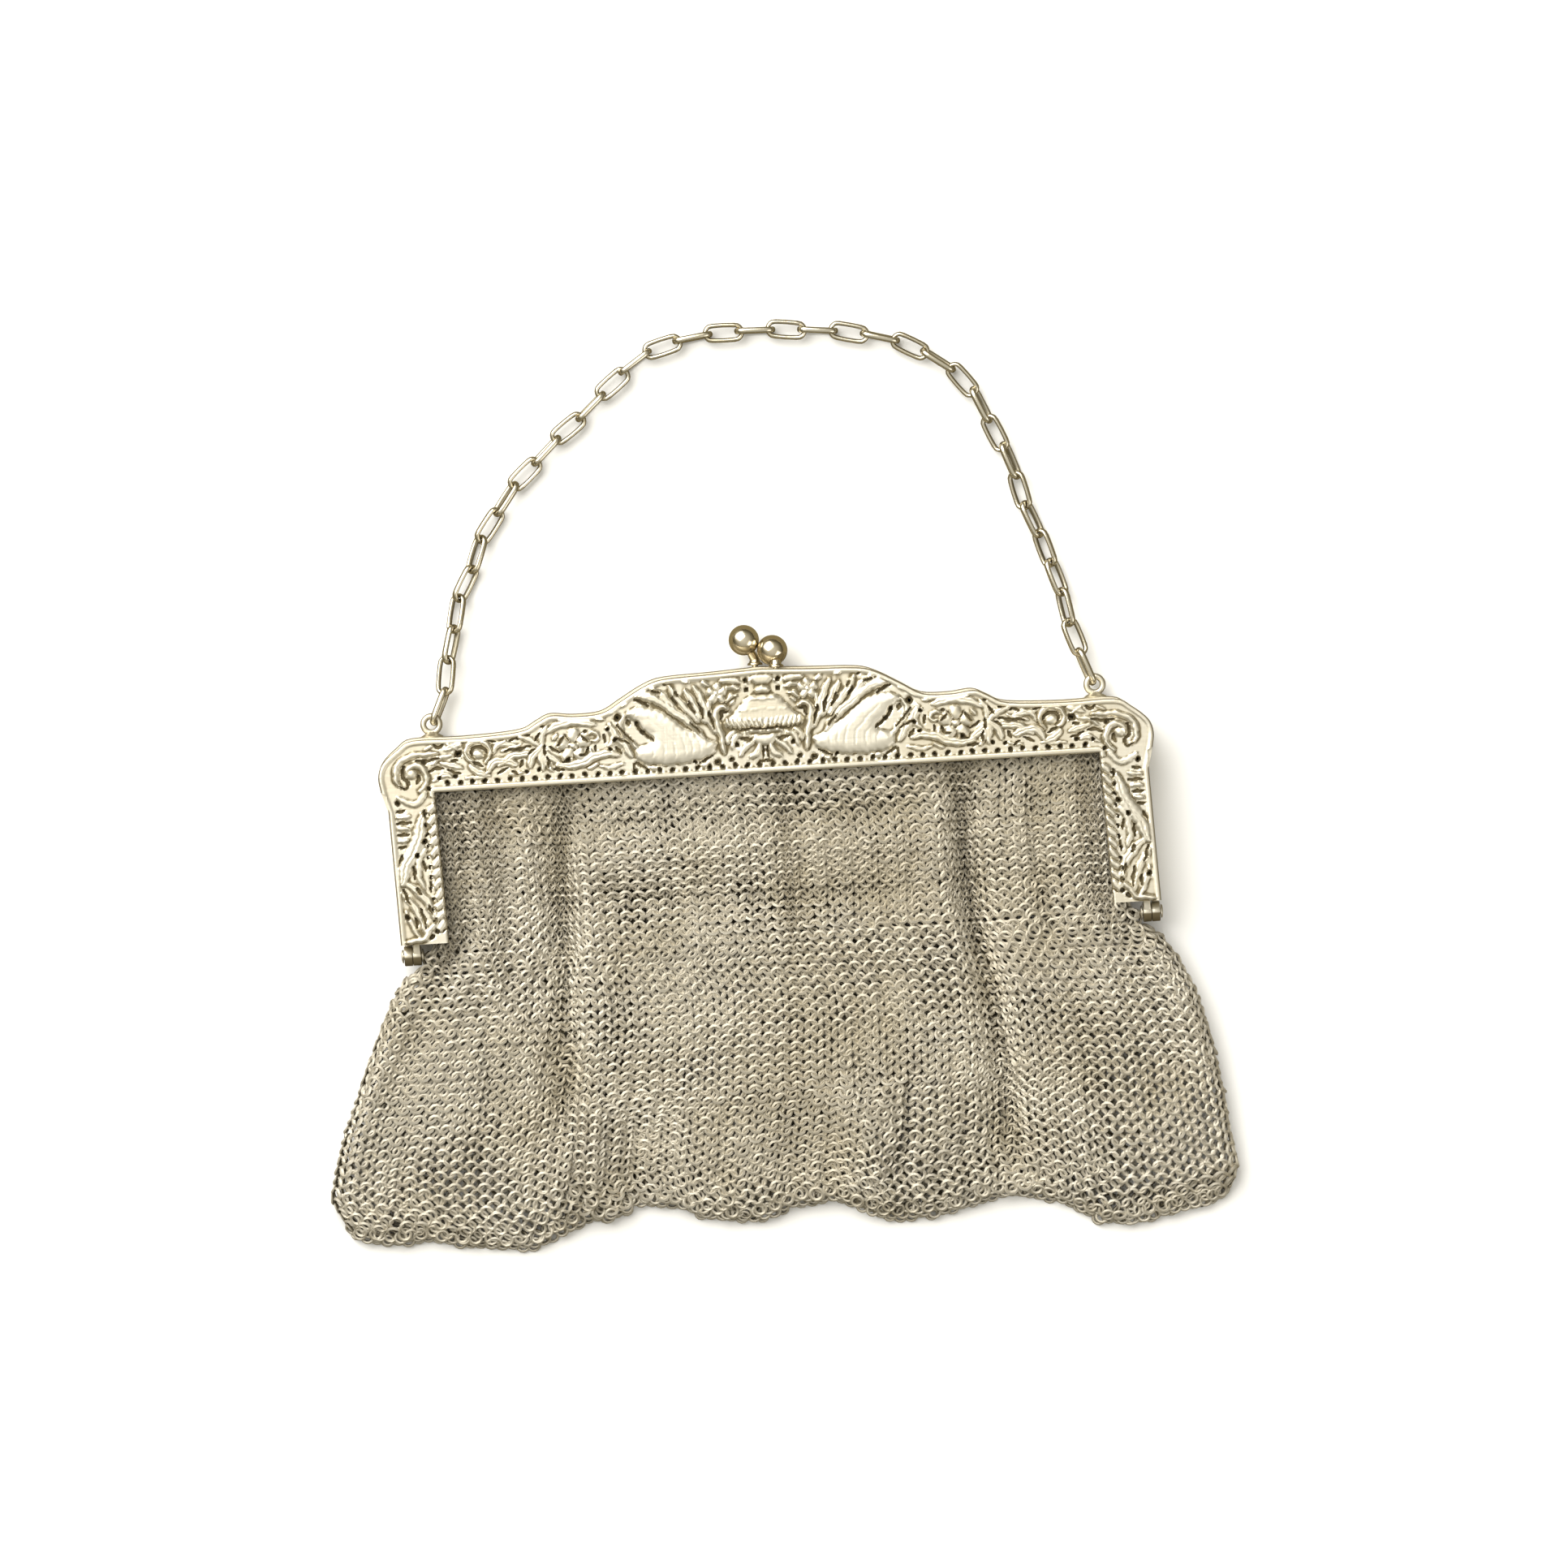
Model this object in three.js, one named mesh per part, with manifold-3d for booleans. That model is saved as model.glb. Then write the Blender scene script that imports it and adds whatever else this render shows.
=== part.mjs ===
// Silver mesh purse, closed and lying on its back: a pierced and cast two-part frame with a
// ball clasp, a bag of ring mesh and a carrying chain of oval links.
// Millimetres. X runs across the frame, Y from the hem towards the chain, Z up to the front face.
// While the pieces are made, Y = 0 is the lower edge of the frame's bar, X = 0 its middle and
// Z = 0 the surface that the purse lies on.
import * as THREE from 'three';
import { mergeVertices } from 'three/addons/utils/BufferGeometryUtils.js';
import Module from 'manifold-3d';

const wasm = await Module();
wasm.setup();

// Frame
const FRAME_HALF_WIDTH = 76; // middle to the widest point of a shoulder
const CREST_HEIGHT = 20.4; // lower edge of the bar to the top of the crest
const SHOULDER_SWELL = 1.5; // how far a shoulder stands out past its leg
const SHOULDER_FALL = 3.6; // how far below the bar's edge that swelling ends
const LEG_LENGTH = 29.5;
const LEG_WIDTH = 9.4;
const LEG_LEAN = 1.0; // both leg ends are pushed this far to the right
const PLATE = 1.0; // thickness of a face plate
const WALL = 0.9; // thickness of a rim wall
const HALF_DEPTH = 5.8; // depth of one half of the frame
const BACK_SET_LEFT = 0.5; // the back half closes this far to the left of the front half
const BACK_SET_UP = 0.6; // and this far above it
const CLEARANCE = 0.3; // gap kept between neighbouring pieces

// Cast relief and piercing of the front plate
const RELIEF = 0.55; // height of leaves and scrolls
const HIGH_RELIEF = 0.85; // height of the urn, the wings and the flowers
const RELIEF_ROOT = 0.2; // how deep a relief is cast into the plate
const RIM_HEIGHT = 0.35;
const RIM_WIDTH = 1.0;
const DOT_PITCH = 2.45; // sewing holes along the bar
const DOT_SIZE = 0.5;
const LADDER_PITCH = 2.05; // holes down the inner edge of a leg
const LADDER_SIZE = 0.55;
const DOT_RISE = 1.5; // middle of a sewing hole over the rim, as a part of DOT_SIZE
const SCROLL_BAND = 1.0; // width of a scroll's ribbon
const SCROLL_INNER = 0.3; // radius of a scroll's inner end, as a part of its outer end
const SCROLL_TAPER = 0.55; // width of the ribbon there, as a part of its outer end
const NECK_HALF = 0.6; // half width of a swan's neck, as a part of SCROLL_BAND
const LEAF_WIDEST = 0.4; // where a leaf is widest, from its root
const PETALS = 5;
const PETAL_NOTCH = 0.68; // radius between two petals, as a part of the flower's
const FLOWER_EYE = 0.35; // radius of the flower's middle, as a part of the flower's

// Hinges at the leg ends
const KNUCKLE_RADIUS = 1.95;
const KNUCKLE_WIDTH = 1.4;
const PIN_RADIUS = 0.65;
const PIN_HEAD_RADIUS = 1.4;
const PIN_HEAD = 0.4;

// Clasp and chain eyes, each riveted through a rim wall
const SHANK_RADIUS = 0.6;
const RIVET_RADIUS = 1.3;
const RIVET_HEAD = 0.5;
const COLLAR_RADIUS = 1.5;
const COLLAR = 0.4;
const BALL_RADIUS = 2.9;
const STEM_RADIUS = 0.95;
const EYE_RADIUS = 1.6; // to the middle of the eye's wire
const EYE_WIRE_RADIUS = 0.6;

// Chain
const LINK_COUNT = 35; // an odd number, so that both end links stand alike in their eyes
const LINK_WIDTH = 3.9;
const LINK_WIRE = 0.9;
const LINK_SIDES = 10;
const LINK_WIRE_SIDES = 5;
const CHAIN_REACH = 87.0; // lower edge of the bar to the far side of the chain's loop
const CHAIN_DROP = 32; // length over which the chain sinks from an eye to the surface
const CHAIN_LEVEL = 3.2; // length over which it first stays level

// Bag
const BAG_LENGTH = 88.0; // lower edge of the bar to the mean line of the hem
const BAG_LEFT = 91.1; // middle of the frame to the widest point on the left
const BAG_RIGHT = 88.5; // and on the right
const MESH = 1.5; // thickness of the ring mesh
const MOUTH_TUCK = 3.0; // how far the mesh runs up behind the bar
const LEG_TUCK = 4.1; // how far it runs in behind a leg
const SIDE_ROUND = 5.0; // depth of the round fold down each side
const HEM_JOIN = 4.0; // depth of the closed seam along the hem
const BAG_COLUMNS = 28;
const MOUTH_ROWS = 6;

// Values that follow from the sizes above
const FRAME_DEPTH = 2 * HALF_DEPTH + CLEARANCE;
const MIDDLE_Z = FRAME_DEPTH / 2;
const LEG_OUTER = FRAME_HALF_WIDTH - SHOULDER_SWELL;
const OPENING = LEG_OUTER - LEG_WIDTH;
const HINGE_WIDTH = 2 * KNUCKLE_WIDTH + 3 * CLEARANCE + 2 * PIN_HEAD;
const HINGE_START = LEG_OUTER + PIN_HEAD - HINGE_WIDTH;
const HINGE_Y = -(LEG_LENGTH + CLEARANCE + KNUCKLE_RADIUS);
const MOUTH_TOP = FRAME_DEPTH - PLATE - CLEARANCE;
const NECK = OPENING + LEG_TUCK;
const NECK_END = HINGE_Y - KNUCKLE_RADIUS - 2 * CLEARANCE;

// Upper edge of the frame from its middle to a leg.
// Columns: distance from the middle as a share of FRAME_HALF_WIDTH, height as a share of CREST_HEIGHT.
const CREST_LINE = [
  [0, 1.0], [0.129, 0.975], [0.25, 0.956], [0.303, 0.897], [0.362, 0.775], [0.415, 0.667],
  [0.487, 0.652], [0.546, 0.672], [0.585, 0.608], [0.632, 0.534], [0.776, 0.505], [0.904, 0.51],
  [0.947, 0.431], [0.988, 0.299], [1.0, 0.167], [0.995, 0.025],
];

// Shapes of the relief on the right-hand side and in the middle.
// Columns: distance from the middle as a share of FRAME_HALF_WIDTH, height as a share of CREST_HEIGHT.
const URN_SIDE = [
  [0.03, 0.36], [0.085, 0.385], [0.1, 0.41], [0.104, 0.5], [0.085, 0.55], [0.078, 0.62],
  [0.05, 0.71], [0.028, 0.76], [0.02, 0.85], [0.012, 0.93],
];
const BELL_SIDE = [[0.034, 0.12], [0.02, 0.2], [0.016, 0.3], [0.008, 0.33]];
const SWAN_BODY = [
  [0.15, 0.3], [0.185, 0.15], [0.25, 0.11], [0.31, 0.15], [0.375, 0.27], [0.345, 0.42],
  [0.29, 0.44], [0.22, 0.46], [0.17, 0.43],
];
const SWAN_WING = [
  [0.19, 0.42], [0.235, 0.33], [0.31, 0.36], [0.372, 0.5], [0.352, 0.58], [0.335, 0.68],
  [0.3, 0.78], [0.255, 0.86], [0.205, 0.88], [0.178, 0.78], [0.182, 0.6],
];
const SWAN_NECK = [[0.2, 0.24], [0.15, 0.33], [0.122, 0.46], [0.125, 0.6], [0.15, 0.69], [0.175, 0.66]];

// Leaves. Columns: root across and up, then tip across and up, as shares like those above, then
// the width as a share of the leaf's length.
const LEAVES = [
  [0.405, 0.14, 0.49, 0.22, 0.34], [0.39, 0.5, 0.44, 0.34, 0.36], [0.56, 0.5, 0.6, 0.36, 0.36],
  [0.54, 0.16, 0.64, 0.2, 0.3], [0.6, 0.44, 0.69, 0.4, 0.34], [0.66, 0.16, 0.72, 0.34, 0.34],
  [0.79, 0.16, 0.85, 0.34, 0.34], [0.84, 0.38, 0.89, 0.2, 0.36],
];
// Leaves of the spray down a leg. Columns: root and tip across the leg as shares of LEG_WIDTH from
// its inner edge, and down it as shares of LEG_LENGTH, then the width as a share of the length.
const LEG_LEAVES = [
  [0.55, 0.08, 0.84, 0.2, 0.34], [0.6, 0.3, 0.32, 0.16, 0.3], [0.6, 0.4, 0.88, 0.28, 0.3],
  [0.58, 0.58, 0.32, 0.42, 0.3], [0.6, 0.62, 0.88, 0.5, 0.3], [0.55, 0.86, 0.34, 0.68, 0.3],
  [0.62, 0.86, 0.86, 0.72, 0.3],
];
const LEG_STEM = [[0.52, 0.04], [0.62, 0.04], [0.64, 0.92], [0.56, 0.92]];
// Scrolls. Columns: centre across and up as shares, outer radius as a share of CREST_HEIGHT,
// start angle in degrees and number of turns, with a minus sign for a clockwise scroll.
const SCROLLS = [
  [0.735, 0.35, 0.16, -80, 1.15], [0.925, 0.19, 0.2, 200, -1.2], [0.455, 0.52, 0.1, 160, -1.0],
  [0.53, 0.53, 0.1, 20, 1.0],
];
const ROSETTE = { across: 0.49, up: 0.36, radius: 0.145 };
// Pierced gaps. Columns: centre across and up as shares, radius as a share of CREST_HEIGHT,
// number of corners, angle of the first corner in degrees.
const GAPS = [
  [0.795, 0.36, 0.05, 4, 45], [0.575, 0.42, 0.045, 3, 90], [0.685, 0.36, 0.035, 3, -30],
  [0.42, 0.42, 0.04, 3, 60], [0.86, 0.24, 0.035, 3, 0], [0.615, 0.28, 0.035, 3, 180],
  [0.64, 0.46, 0.03, 3, -90], [0.395, 0.28, 0.035, 3, 100], [0.128, 0.24, 0.04, 3, 30],
  [0.07, 0.24, 0.035, 3, -90], [0.135, 0.83, 0.04, 3, 90],
];

// Balls of the clasp. Columns: foot across and ball across in millimetres from the middle, and
// the height of the ball's centre over the edge that it is riveted to.
const CLASP = {
  back: { foot: -1.1, ball: -3.0, rise: 5.4 },
  front: { foot: 3.0, ball: 2.45, rise: BALL_RADIUS + CLEARANCE + BACK_SET_UP },
};
const CLASP_DROP = 0.55; // how far a ball's centre lies from the middle plane, towards its own half

// Places along the frame where the chain's eyes stand, as shares of FRAME_HALF_WIDTH.
const EYE_ACROSS = 0.86;
// Route of the chain over the surface between the two eyes, left to right, chosen by hand.
// Columns: across as a share of FRAME_HALF_WIDTH, up as a share of CHAIN_REACH.
const CHAIN_ROUTE = [
  [-0.833, 0.2], [-0.809, 0.286], [-0.77, 0.428], [-0.733, 0.5], [-0.697, 0.57], [-0.613, 0.676],
  [-0.495, 0.779], [-0.405, 0.847], [-0.319, 0.916], [-0.27, 0.951], [-0.173, 0.985], [-0.046, 1.0],
  [0.117, 0.999], [0.267, 0.986], [0.391, 0.961], [0.507, 0.909], [0.594, 0.831], [0.632, 0.756],
  [0.675, 0.68], [0.697, 0.607], [0.727, 0.532], [0.773, 0.42], [0.814, 0.271], [0.836, 0.205],
];
// Turn of the chain about its own route. Columns: share of the chain's length, degrees.
const CHAIN_TWIST = [
  [0, 84], [0.09, 52], [0.16, 40], [0.26, 12], [0.45, 0], [0.6, 6], [0.78, 26], [0.9, 46], [1, 84],
];

// Sides of the bag below the hinges. Columns: share of the way from the neck to the hem, then
// how far each side has spread from the neck to its widest, left and right.
const BAG_SIDES = [
  [0, 0, 0], [0.03, 0.15, 0.19], [0.072, 0.249, 0.299], [0.13, 0.348, 0.42], [0.244, 0.484, 0.615],
  [0.36, 0.602, 0.736], [0.476, 0.706, 0.828], [0.59, 0.824, 0.879], [0.706, 0.923, 0.92],
  [0.823, 1, 0.954], [0.89, 0.946, 1], [0.95, 0.837, 0.914], [1.05, 0.64, 0.74],
];
// Scallops of the hem. Columns: share of the way across, length as a share of BAG_LENGTH.
const HEM_LINE = [
  [0, 0.93], [0.016, 0.966], [0.054, 0.993], [0.099, 0.984], [0.178, 1.026], [0.26, 0.997],
  [0.312, 0.966], [0.34, 0.938], [0.375, 0.942], [0.402, 0.977], [0.454, 0.997], [0.485, 0.988],
  [0.546, 0.959], [0.561, 0.957], [0.597, 1.001], [0.622, 1.014], [0.651, 1.008], [0.717, 0.98],
  [0.756, 0.974], [0.789, 0.989], [0.831, 1.031], [0.861, 1.049], [0.91, 1.04], [0.977, 1.011],
  [0.99, 0.977], [1, 0.955],
];
// Height of the front of the bag down its middle. Columns: share of BAG_LENGTH below the bar,
// height as a share of the height at the mouth.
const DRAPE = [
  [-0.04, 1], [0, 0.985], [0.09, 0.9], [0.167, 0.925], [0.273, 0.81], [0.364, 0.86], [0.51, 0.83],
  [0.62, 0.8], [0.72, 0.75], [0.85, 0.65], [0.955, 0.5], [1, 0.33], [1.05, 0.28],
];
// Long folds of the front. Columns: across and down at the fold's upper end, across and down at
// its lower end, width, all as shares of BAG_LEFT or BAG_LENGTH, then height as a share of MOUTH_TOP.
const FOLDS = [
  { x1: -0.449, y1: 0.04, x2: -0.485, y2: 0.82, width: 0.05, rise: -0.2 },
  { x1: -0.39, y1: 0.08, x2: -0.4, y2: 0.9, width: 0.055, rise: 0.06 },
  { x1: 0.41, y1: 0.02, x2: 0.478, y2: 0.93, width: 0.05, rise: -0.25 },
  { x1: 0.49, y1: 0.06, x2: 0.56, y2: 0.9, width: 0.06, rise: 0.08 },
  { x1: -0.6, y1: 0.05, x2: -0.63, y2: 0.6, width: 0.06, rise: 0.05 },
  { x1: 0.12, y1: 0.7, x2: 0.2, y2: 1.0, width: 0.07, rise: 0.08 },
  { x1: -0.33, y1: 0.75, x2: -0.34, y2: 1.02, width: 0.05, rise: -0.12 },
];
// Where a fold rises out of the cloth and sinks back, as shares of its length.
const FOLD_START = [-0.1, 0.15];
const FOLD_END = [0.85, 1.1];
const HEM_FLUTES = 14; // rise of a scallop for each part of its extra length, in millimetres
const HEM_LEVEL = 0.985; // length of a scallop that neither rises nor sinks
const FLUTE_ROWS = [0.65, 0.9]; // where the flutes begin and are full, as shares of BAG_LENGTH
const SCALLOP_START = 0.35; // where the rows start to follow the hem, from the neck
const EDGE_COLUMNS = 0.4; // how far the columns crowd towards the two sides
const BACK_LIFT = 0.1; // where the back starts to rise on to the back plate
// Rows of the mesh below the neck: shares of the way from the neck to the hem.
const OUTER_ROWS = [0, 0.05, 0.13, 0.244, 0.36, 0.5, 0.65, 0.8, 0.9, 1];
const INNER_ROWS = [0, 0.2, 0.55, 1];

const silver = new THREE.MeshStandardMaterial({ color: 0xd9d2bd, roughness: 0.35, metalness: 1 });
const polished = new THREE.MeshStandardMaterial({ color: 0xd6c9ab, roughness: 0.12, metalness: 1 });
const mesh = new THREE.MeshStandardMaterial({ color: 0xb4ac98, roughness: 0.45, metalness: 1 });
const chainSilver = new THREE.MeshStandardMaterial({ color: 0xd8cfb6, roughness: 0.28, metalness: 1 });

const clamp = THREE.MathUtils.clamp;
const lerp = THREE.MathUtils.lerp;
const smooth = (value, low, high) => THREE.MathUtils.smoothstep(value, low, high);
const radians = THREE.MathUtils.degToRad;

// Value of a table's column at a place between its rows.
function read(table, at, column = 1) {
  const after = table.findIndex((row) => row[0] >= at);
  if (after === 0) return table[0][column];
  if (after < 0) return table[table.length - 1][column];
  const [low, high] = [table[after - 1], table[after]];
  return lerp(low[column], high[column], (at - low[0]) / (high[0] - low[0]));
}

// Closed body of a geometry, ready for joining and cutting.
function solid(geometry) {
  geometry.deleteAttribute('normal');
  geometry.deleteAttribute('uv');
  const merged = mergeVertices(geometry, 1e-4);
  return new wasm.Manifold(new wasm.Mesh({
    numProp: 3,
    vertProperties: merged.attributes.position.array,
    triVerts: new Uint32Array(merged.index.array),
  }));
}

function geometryOf(body) {
  const result = body.getMesh();
  const geometry = new THREE.BufferGeometry();
  geometry.setAttribute('position', new THREE.BufferAttribute(result.vertProperties, 3));
  geometry.setIndex(new THREE.BufferAttribute(result.triVerts, 1));
  geometry.computeVertexNormals();
  return geometry;
}

function joined(bodies) {
  return bodies.reduce((sum, body) => sum.add(body));
}

// Sideways shift of the bent frame at a height.
function leanAt(y) {
  return LEG_LEAN * Math.max(0, -y) / LEG_LENGTH;
}

// Upright prism over an outline on the frame, leaning with its legs.
function prism(points, low, high) {
  const shape = new THREE.Shape(points.map(([x, y]) => new THREE.Vector2(x + leanAt(y), y)));
  const geometry = new THREE.ExtrudeGeometry(shape, { depth: high - low, bevelEnabled: false });
  return solid(geometry.translate(0, 0, low));
}

// Round bar between two points, with flat ends.
function bar(from, to, radius, sides = 8) {
  const axis = new THREE.Vector3().subVectors(to, from);
  const geometry = new THREE.CylinderGeometry(radius, radius, axis.length(), sides);
  const turn = new THREE.Quaternion().setFromUnitVectors(new THREE.Vector3(0, 1, 0), axis.clone().normalize());
  geometry.applyQuaternion(turn);
  return solid(geometry.translate(...new THREE.Vector3().addVectors(from, to).multiplyScalar(0.5)));
}

function box(x1, x2, y1, y2, z1, z2) {
  const geometry = new THREE.BoxGeometry(x2 - x1, y2 - y1, z2 - z1);
  return solid(geometry.translate((x1 + x2) / 2, (y1 + y2) / 2, (z1 + z2) / 2));
}

const onFrame = ([across, up]) => [across * FRAME_HALF_WIDTH, up * CREST_HEIGHT];
const mirror = (points, side) => points.map(([x, y]) => [side * x, y]);

// Edge of one half of the frame from the left leg's end over the crest to the right leg's end.
// The back half is set a little to the left and up, which fades out towards the legs.
function outerEdge(isFront) {
  const right = [...CREST_LINE.map(onFrame), [LEG_OUTER, -SHOULDER_FALL], [LEG_OUTER, -LEG_LENGTH]];
  const left = mirror(right.slice(1), -1).reverse();
  return [...left, ...right].map(([x, y]) => {
    const share = isFront ? 0 : clamp(y / (CREST_HEIGHT / 2), 0, 1);
    return [x - share * BACK_SET_LEFT, y + share * BACK_SET_UP];
  });
}

// Height of the crest's edge at a distance from the middle.
function edgeHeight(x, isFront) {
  const edge = outerEdge(isFront).filter(([, y]) => y > 0);
  return read(edge, x);
}

// The same edge moved inwards.
function inset(edge, distance) {
  return edge.map(([x, y], index) => {
    const before = edge[Math.max(index - 1, 0)];
    const after = edge[Math.min(index + 1, edge.length - 1)];
    const along = new THREE.Vector2(after[0] - before[0], after[1] - before[1]).normalize();
    return [x + along.y * distance, y - along.x * distance];
  });
}

// Ribbon that curls inwards from its outer end, as a closed outline.
function scroll([across, up, size, start, turns]) {
  const [cx, cy] = onFrame([across, up]);
  const steps = Math.ceil(Math.abs(turns) * 8);
  const outer = [];
  const inner = [];
  for (let step = 0; step <= steps; step += 1) {
    const share = step / steps;
    const angle = radians(start + 360 * turns * share);
    const radius = size * CREST_HEIGHT * lerp(1, SCROLL_INNER, share);
    const band = SCROLL_BAND * lerp(1, SCROLL_TAPER, share);
    outer.push([cx + radius * Math.cos(angle), cy + radius * Math.sin(angle)]);
    inner.push([cx + (radius - band) * Math.cos(angle), cy + (radius - band) * Math.sin(angle)]);
  }
  return [...outer, ...inner.reverse()];
}

// Pointed leaf between its root and its tip.
function leaf([x1, y1], [x2, y2], width) {
  const along = new THREE.Vector2(x2 - x1, y2 - y1);
  const side = new THREE.Vector2(-along.y, along.x).multiplyScalar(width / 2);
  const at = (share, out) => [x1 + along.x * share + side.x * out, y1 + along.y * share + side.y * out];
  return [[x1, y1], at(LEAF_WIDEST, -1), [x2, y2], at(LEAF_WIDEST, 1)];
}

function polygon(x, y, radius, corners, start) {
  return Array.from({ length: corners }, (_, index) => {
    const angle = radians(start + 360 * index / corners);
    return [x + radius * Math.cos(angle), y + radius * Math.sin(angle)];
  });
}

function rosette(x, y, radius) {
  const points = Array.from({ length: PETALS * 3 }, (_, index) => {
    const angle = radians(90 + 360 * index / (PETALS * 3));
    const reach = radius * (index % 3 === 0 ? PETAL_NOTCH : 1);
    return [x + reach * Math.cos(angle), y + reach * Math.sin(angle)];
  });
  return points;
}

// Cast ornament of the front plate.
function relief() {
  const floor = FRAME_DEPTH - RELIEF_ROOT;
  const low = (points, height = RELIEF) => prism(points, floor, FRAME_DEPTH + height);
  const edge = outerEdge(true);
  const bodies = [
    low([...edge, ...inset(edge, RIM_WIDTH).reverse()], RIM_HEIGHT),
    low([[-OPENING, 0], [OPENING, 0], [OPENING, RIM_WIDTH], [-OPENING, RIM_WIDTH]], RIM_HEIGHT),
  ];
  for (const outline of [URN_SIDE, BELL_SIDE]) {
    const right = outline.map(onFrame);
    bodies.push(low([...right, ...mirror(right, -1).reverse()], HIGH_RELIEF));
  }
  for (const side of [-1, 1]) {
    const put = (points, height) => bodies.push(low(mirror(points, side), height));
    put(SWAN_BODY.map(onFrame), RELIEF);
    put(SWAN_WING.map(onFrame), HIGH_RELIEF);
    put(neckRibbon(), HIGH_RELIEF);
    SCROLLS.forEach((row) => put(scroll(row), RELIEF));
    LEAVES.forEach(([x1, y1, x2, y2, width]) => put(leaf(onFrame([x1, y1]), onFrame([x2, y2]), width)));
    const [x, y] = onFrame([ROSETTE.across, ROSETTE.up]);
    put(rosette(x, y, ROSETTE.radius * CREST_HEIGHT), RELIEF);
    put(polygon(x, y, ROSETTE.radius * CREST_HEIGHT * FLOWER_EYE, PETALS, 90), HIGH_RELIEF);
    const onLeg = (across, down) => [OPENING + across * LEG_WIDTH, -down * LEG_LENGTH];
    put(LEG_STEM.map(([across, down]) => onLeg(across, down)));
    LEG_LEAVES.forEach(([x1, y1, x2, y2, width]) => put(leaf(onLeg(x1, y1), onLeg(x2, y2), width)));
  }
  return bodies;
}

// Ribbon along a swan's neck, from the breast up to the head and down to the bill.
function neckRibbon() {
  const line = SWAN_NECK.map(onFrame);
  const half = SCROLL_BAND * NECK_HALF;
  return [...inset(line, half), ...inset(line, -half).reverse()];
}

// Gaps that are cut through the front plate and its relief.
function piercing() {
  const cut = (points) => prism(points, FRAME_DEPTH - 2 * PLATE, FRAME_DEPTH + 2 * HIGH_RELIEF);
  const cuts = [];
  const dots = Math.floor((2 * OPENING - DOT_PITCH) / DOT_PITCH);
  for (let index = 0; index < dots; index += 1) {
    const x = (index - (dots - 1) / 2) * DOT_PITCH;
    cuts.push(cut(polygon(x, RIM_WIDTH + DOT_RISE * DOT_SIZE, DOT_SIZE, 3, 90)));
  }
  const rungs = Math.floor((LEG_LENGTH - LADDER_PITCH) / LADDER_PITCH);
  for (const side of [-1, 1]) {
    for (let index = 1; index <= rungs; index += 1) {
      const x = OPENING + RIM_WIDTH + LADDER_SIZE / 2;
      cuts.push(cut(mirror(polygon(x, -index * LADDER_PITCH, LADDER_SIZE, 3, 0), side)));
    }
    GAPS.forEach(([across, up, size, corners, start]) => {
      const [x, y] = onFrame([across, up]);
      cuts.push(cut(mirror(polygon(x, y, size * CREST_HEIGHT, corners, start), side)));
    });
  }
  return cuts;
}

// One half of the frame: face plate, rim wall round the outside, and its hinge knuckles.
function frameHalf(isFront) {
  const plate = isFront ? [FRAME_DEPTH - PLATE, FRAME_DEPTH] : [0, PLATE];
  const depth = isFront ? [FRAME_DEPTH - HALF_DEPTH, FRAME_DEPTH] : [0, HALF_DEPTH];
  const edge = outerEdge(isFront);
  const inner = [[OPENING, -LEG_LENGTH], [OPENING, 0], [-OPENING, 0], [-OPENING, -LEG_LENGTH]];
  const bodies = [
    prism([...edge, ...inner], ...plate),
    prism([...edge, ...inset(edge, WALL).reverse()], ...depth),
  ];
  const bores = [];
  for (const side of [-1, 1]) {
    const end = [
      [HINGE_START, -LEG_LENGTH], [LEG_OUTER, -LEG_LENGTH],
      [LEG_OUTER, WALL - LEG_LENGTH], [HINGE_START, WALL - LEG_LENGTH],
    ];
    bodies.push(prism(mirror(end, side), ...depth));
    const first = HINGE_START + PIN_HEAD + CLEARANCE;
    const start = isFront ? first : first + KNUCKLE_WIDTH + CLEARANCE;
    const at = (x) => new THREE.Vector3(side * x + leanAt(HINGE_Y), HINGE_Y, MIDDLE_Z);
    bodies.push(bar(at(start), at(start + KNUCKLE_WIDTH), KNUCKLE_RADIUS, 12));
    const ends = [at(start).x, at(start + KNUCKLE_WIDTH).x].sort((a, b) => a - b);
    const rise = isFront ? [CLEARANCE / 2, KNUCKLE_RADIUS] : [-KNUCKLE_RADIUS, -CLEARANCE / 2];
    bodies.push(box(...ends, HINGE_Y, WALL / 2 - LEG_LENGTH, MIDDLE_Z + rise[0], MIDDLE_Z + rise[1]));
    const reach = PIN_HEAD + CLEARANCE;
    bores.push(bar(at(start - reach), at(start + KNUCKLE_WIDTH + reach), PIN_RADIUS + CLEARANCE, 10));
  }
  return { body: joined(bodies), bores };
}

// Rivet through a rim wall: collar outside, shank, and head inside.
function rivet(x, y, z) {
  const at = (height) => new THREE.Vector3(x, y + height, z);
  const inside = -WALL - CLEARANCE;
  return [
    bar(at(CLEARANCE), at(CLEARANCE + COLLAR), COLLAR_RADIUS),
    bar(at(inside - RIVET_HEAD / 2), at(CLEARANCE + COLLAR / 2), SHANK_RADIUS),
    bar(at(inside - RIVET_HEAD), at(inside), RIVET_RADIUS),
  ];
}

// Hole in a rim wall for such a rivet.
function rivetHole(x, y, z) {
  const reach = 2 * WALL;
  const from = new THREE.Vector3(x, y - reach, z);
  return bar(from, new THREE.Vector3(x, y + reach, z), SHANK_RADIUS + CLEARANCE);
}

const wallMiddle = (isFront) => {
  const share = (PLATE + HALF_DEPTH) / 2;
  return isFront ? FRAME_DEPTH - share : share;
};

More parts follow.
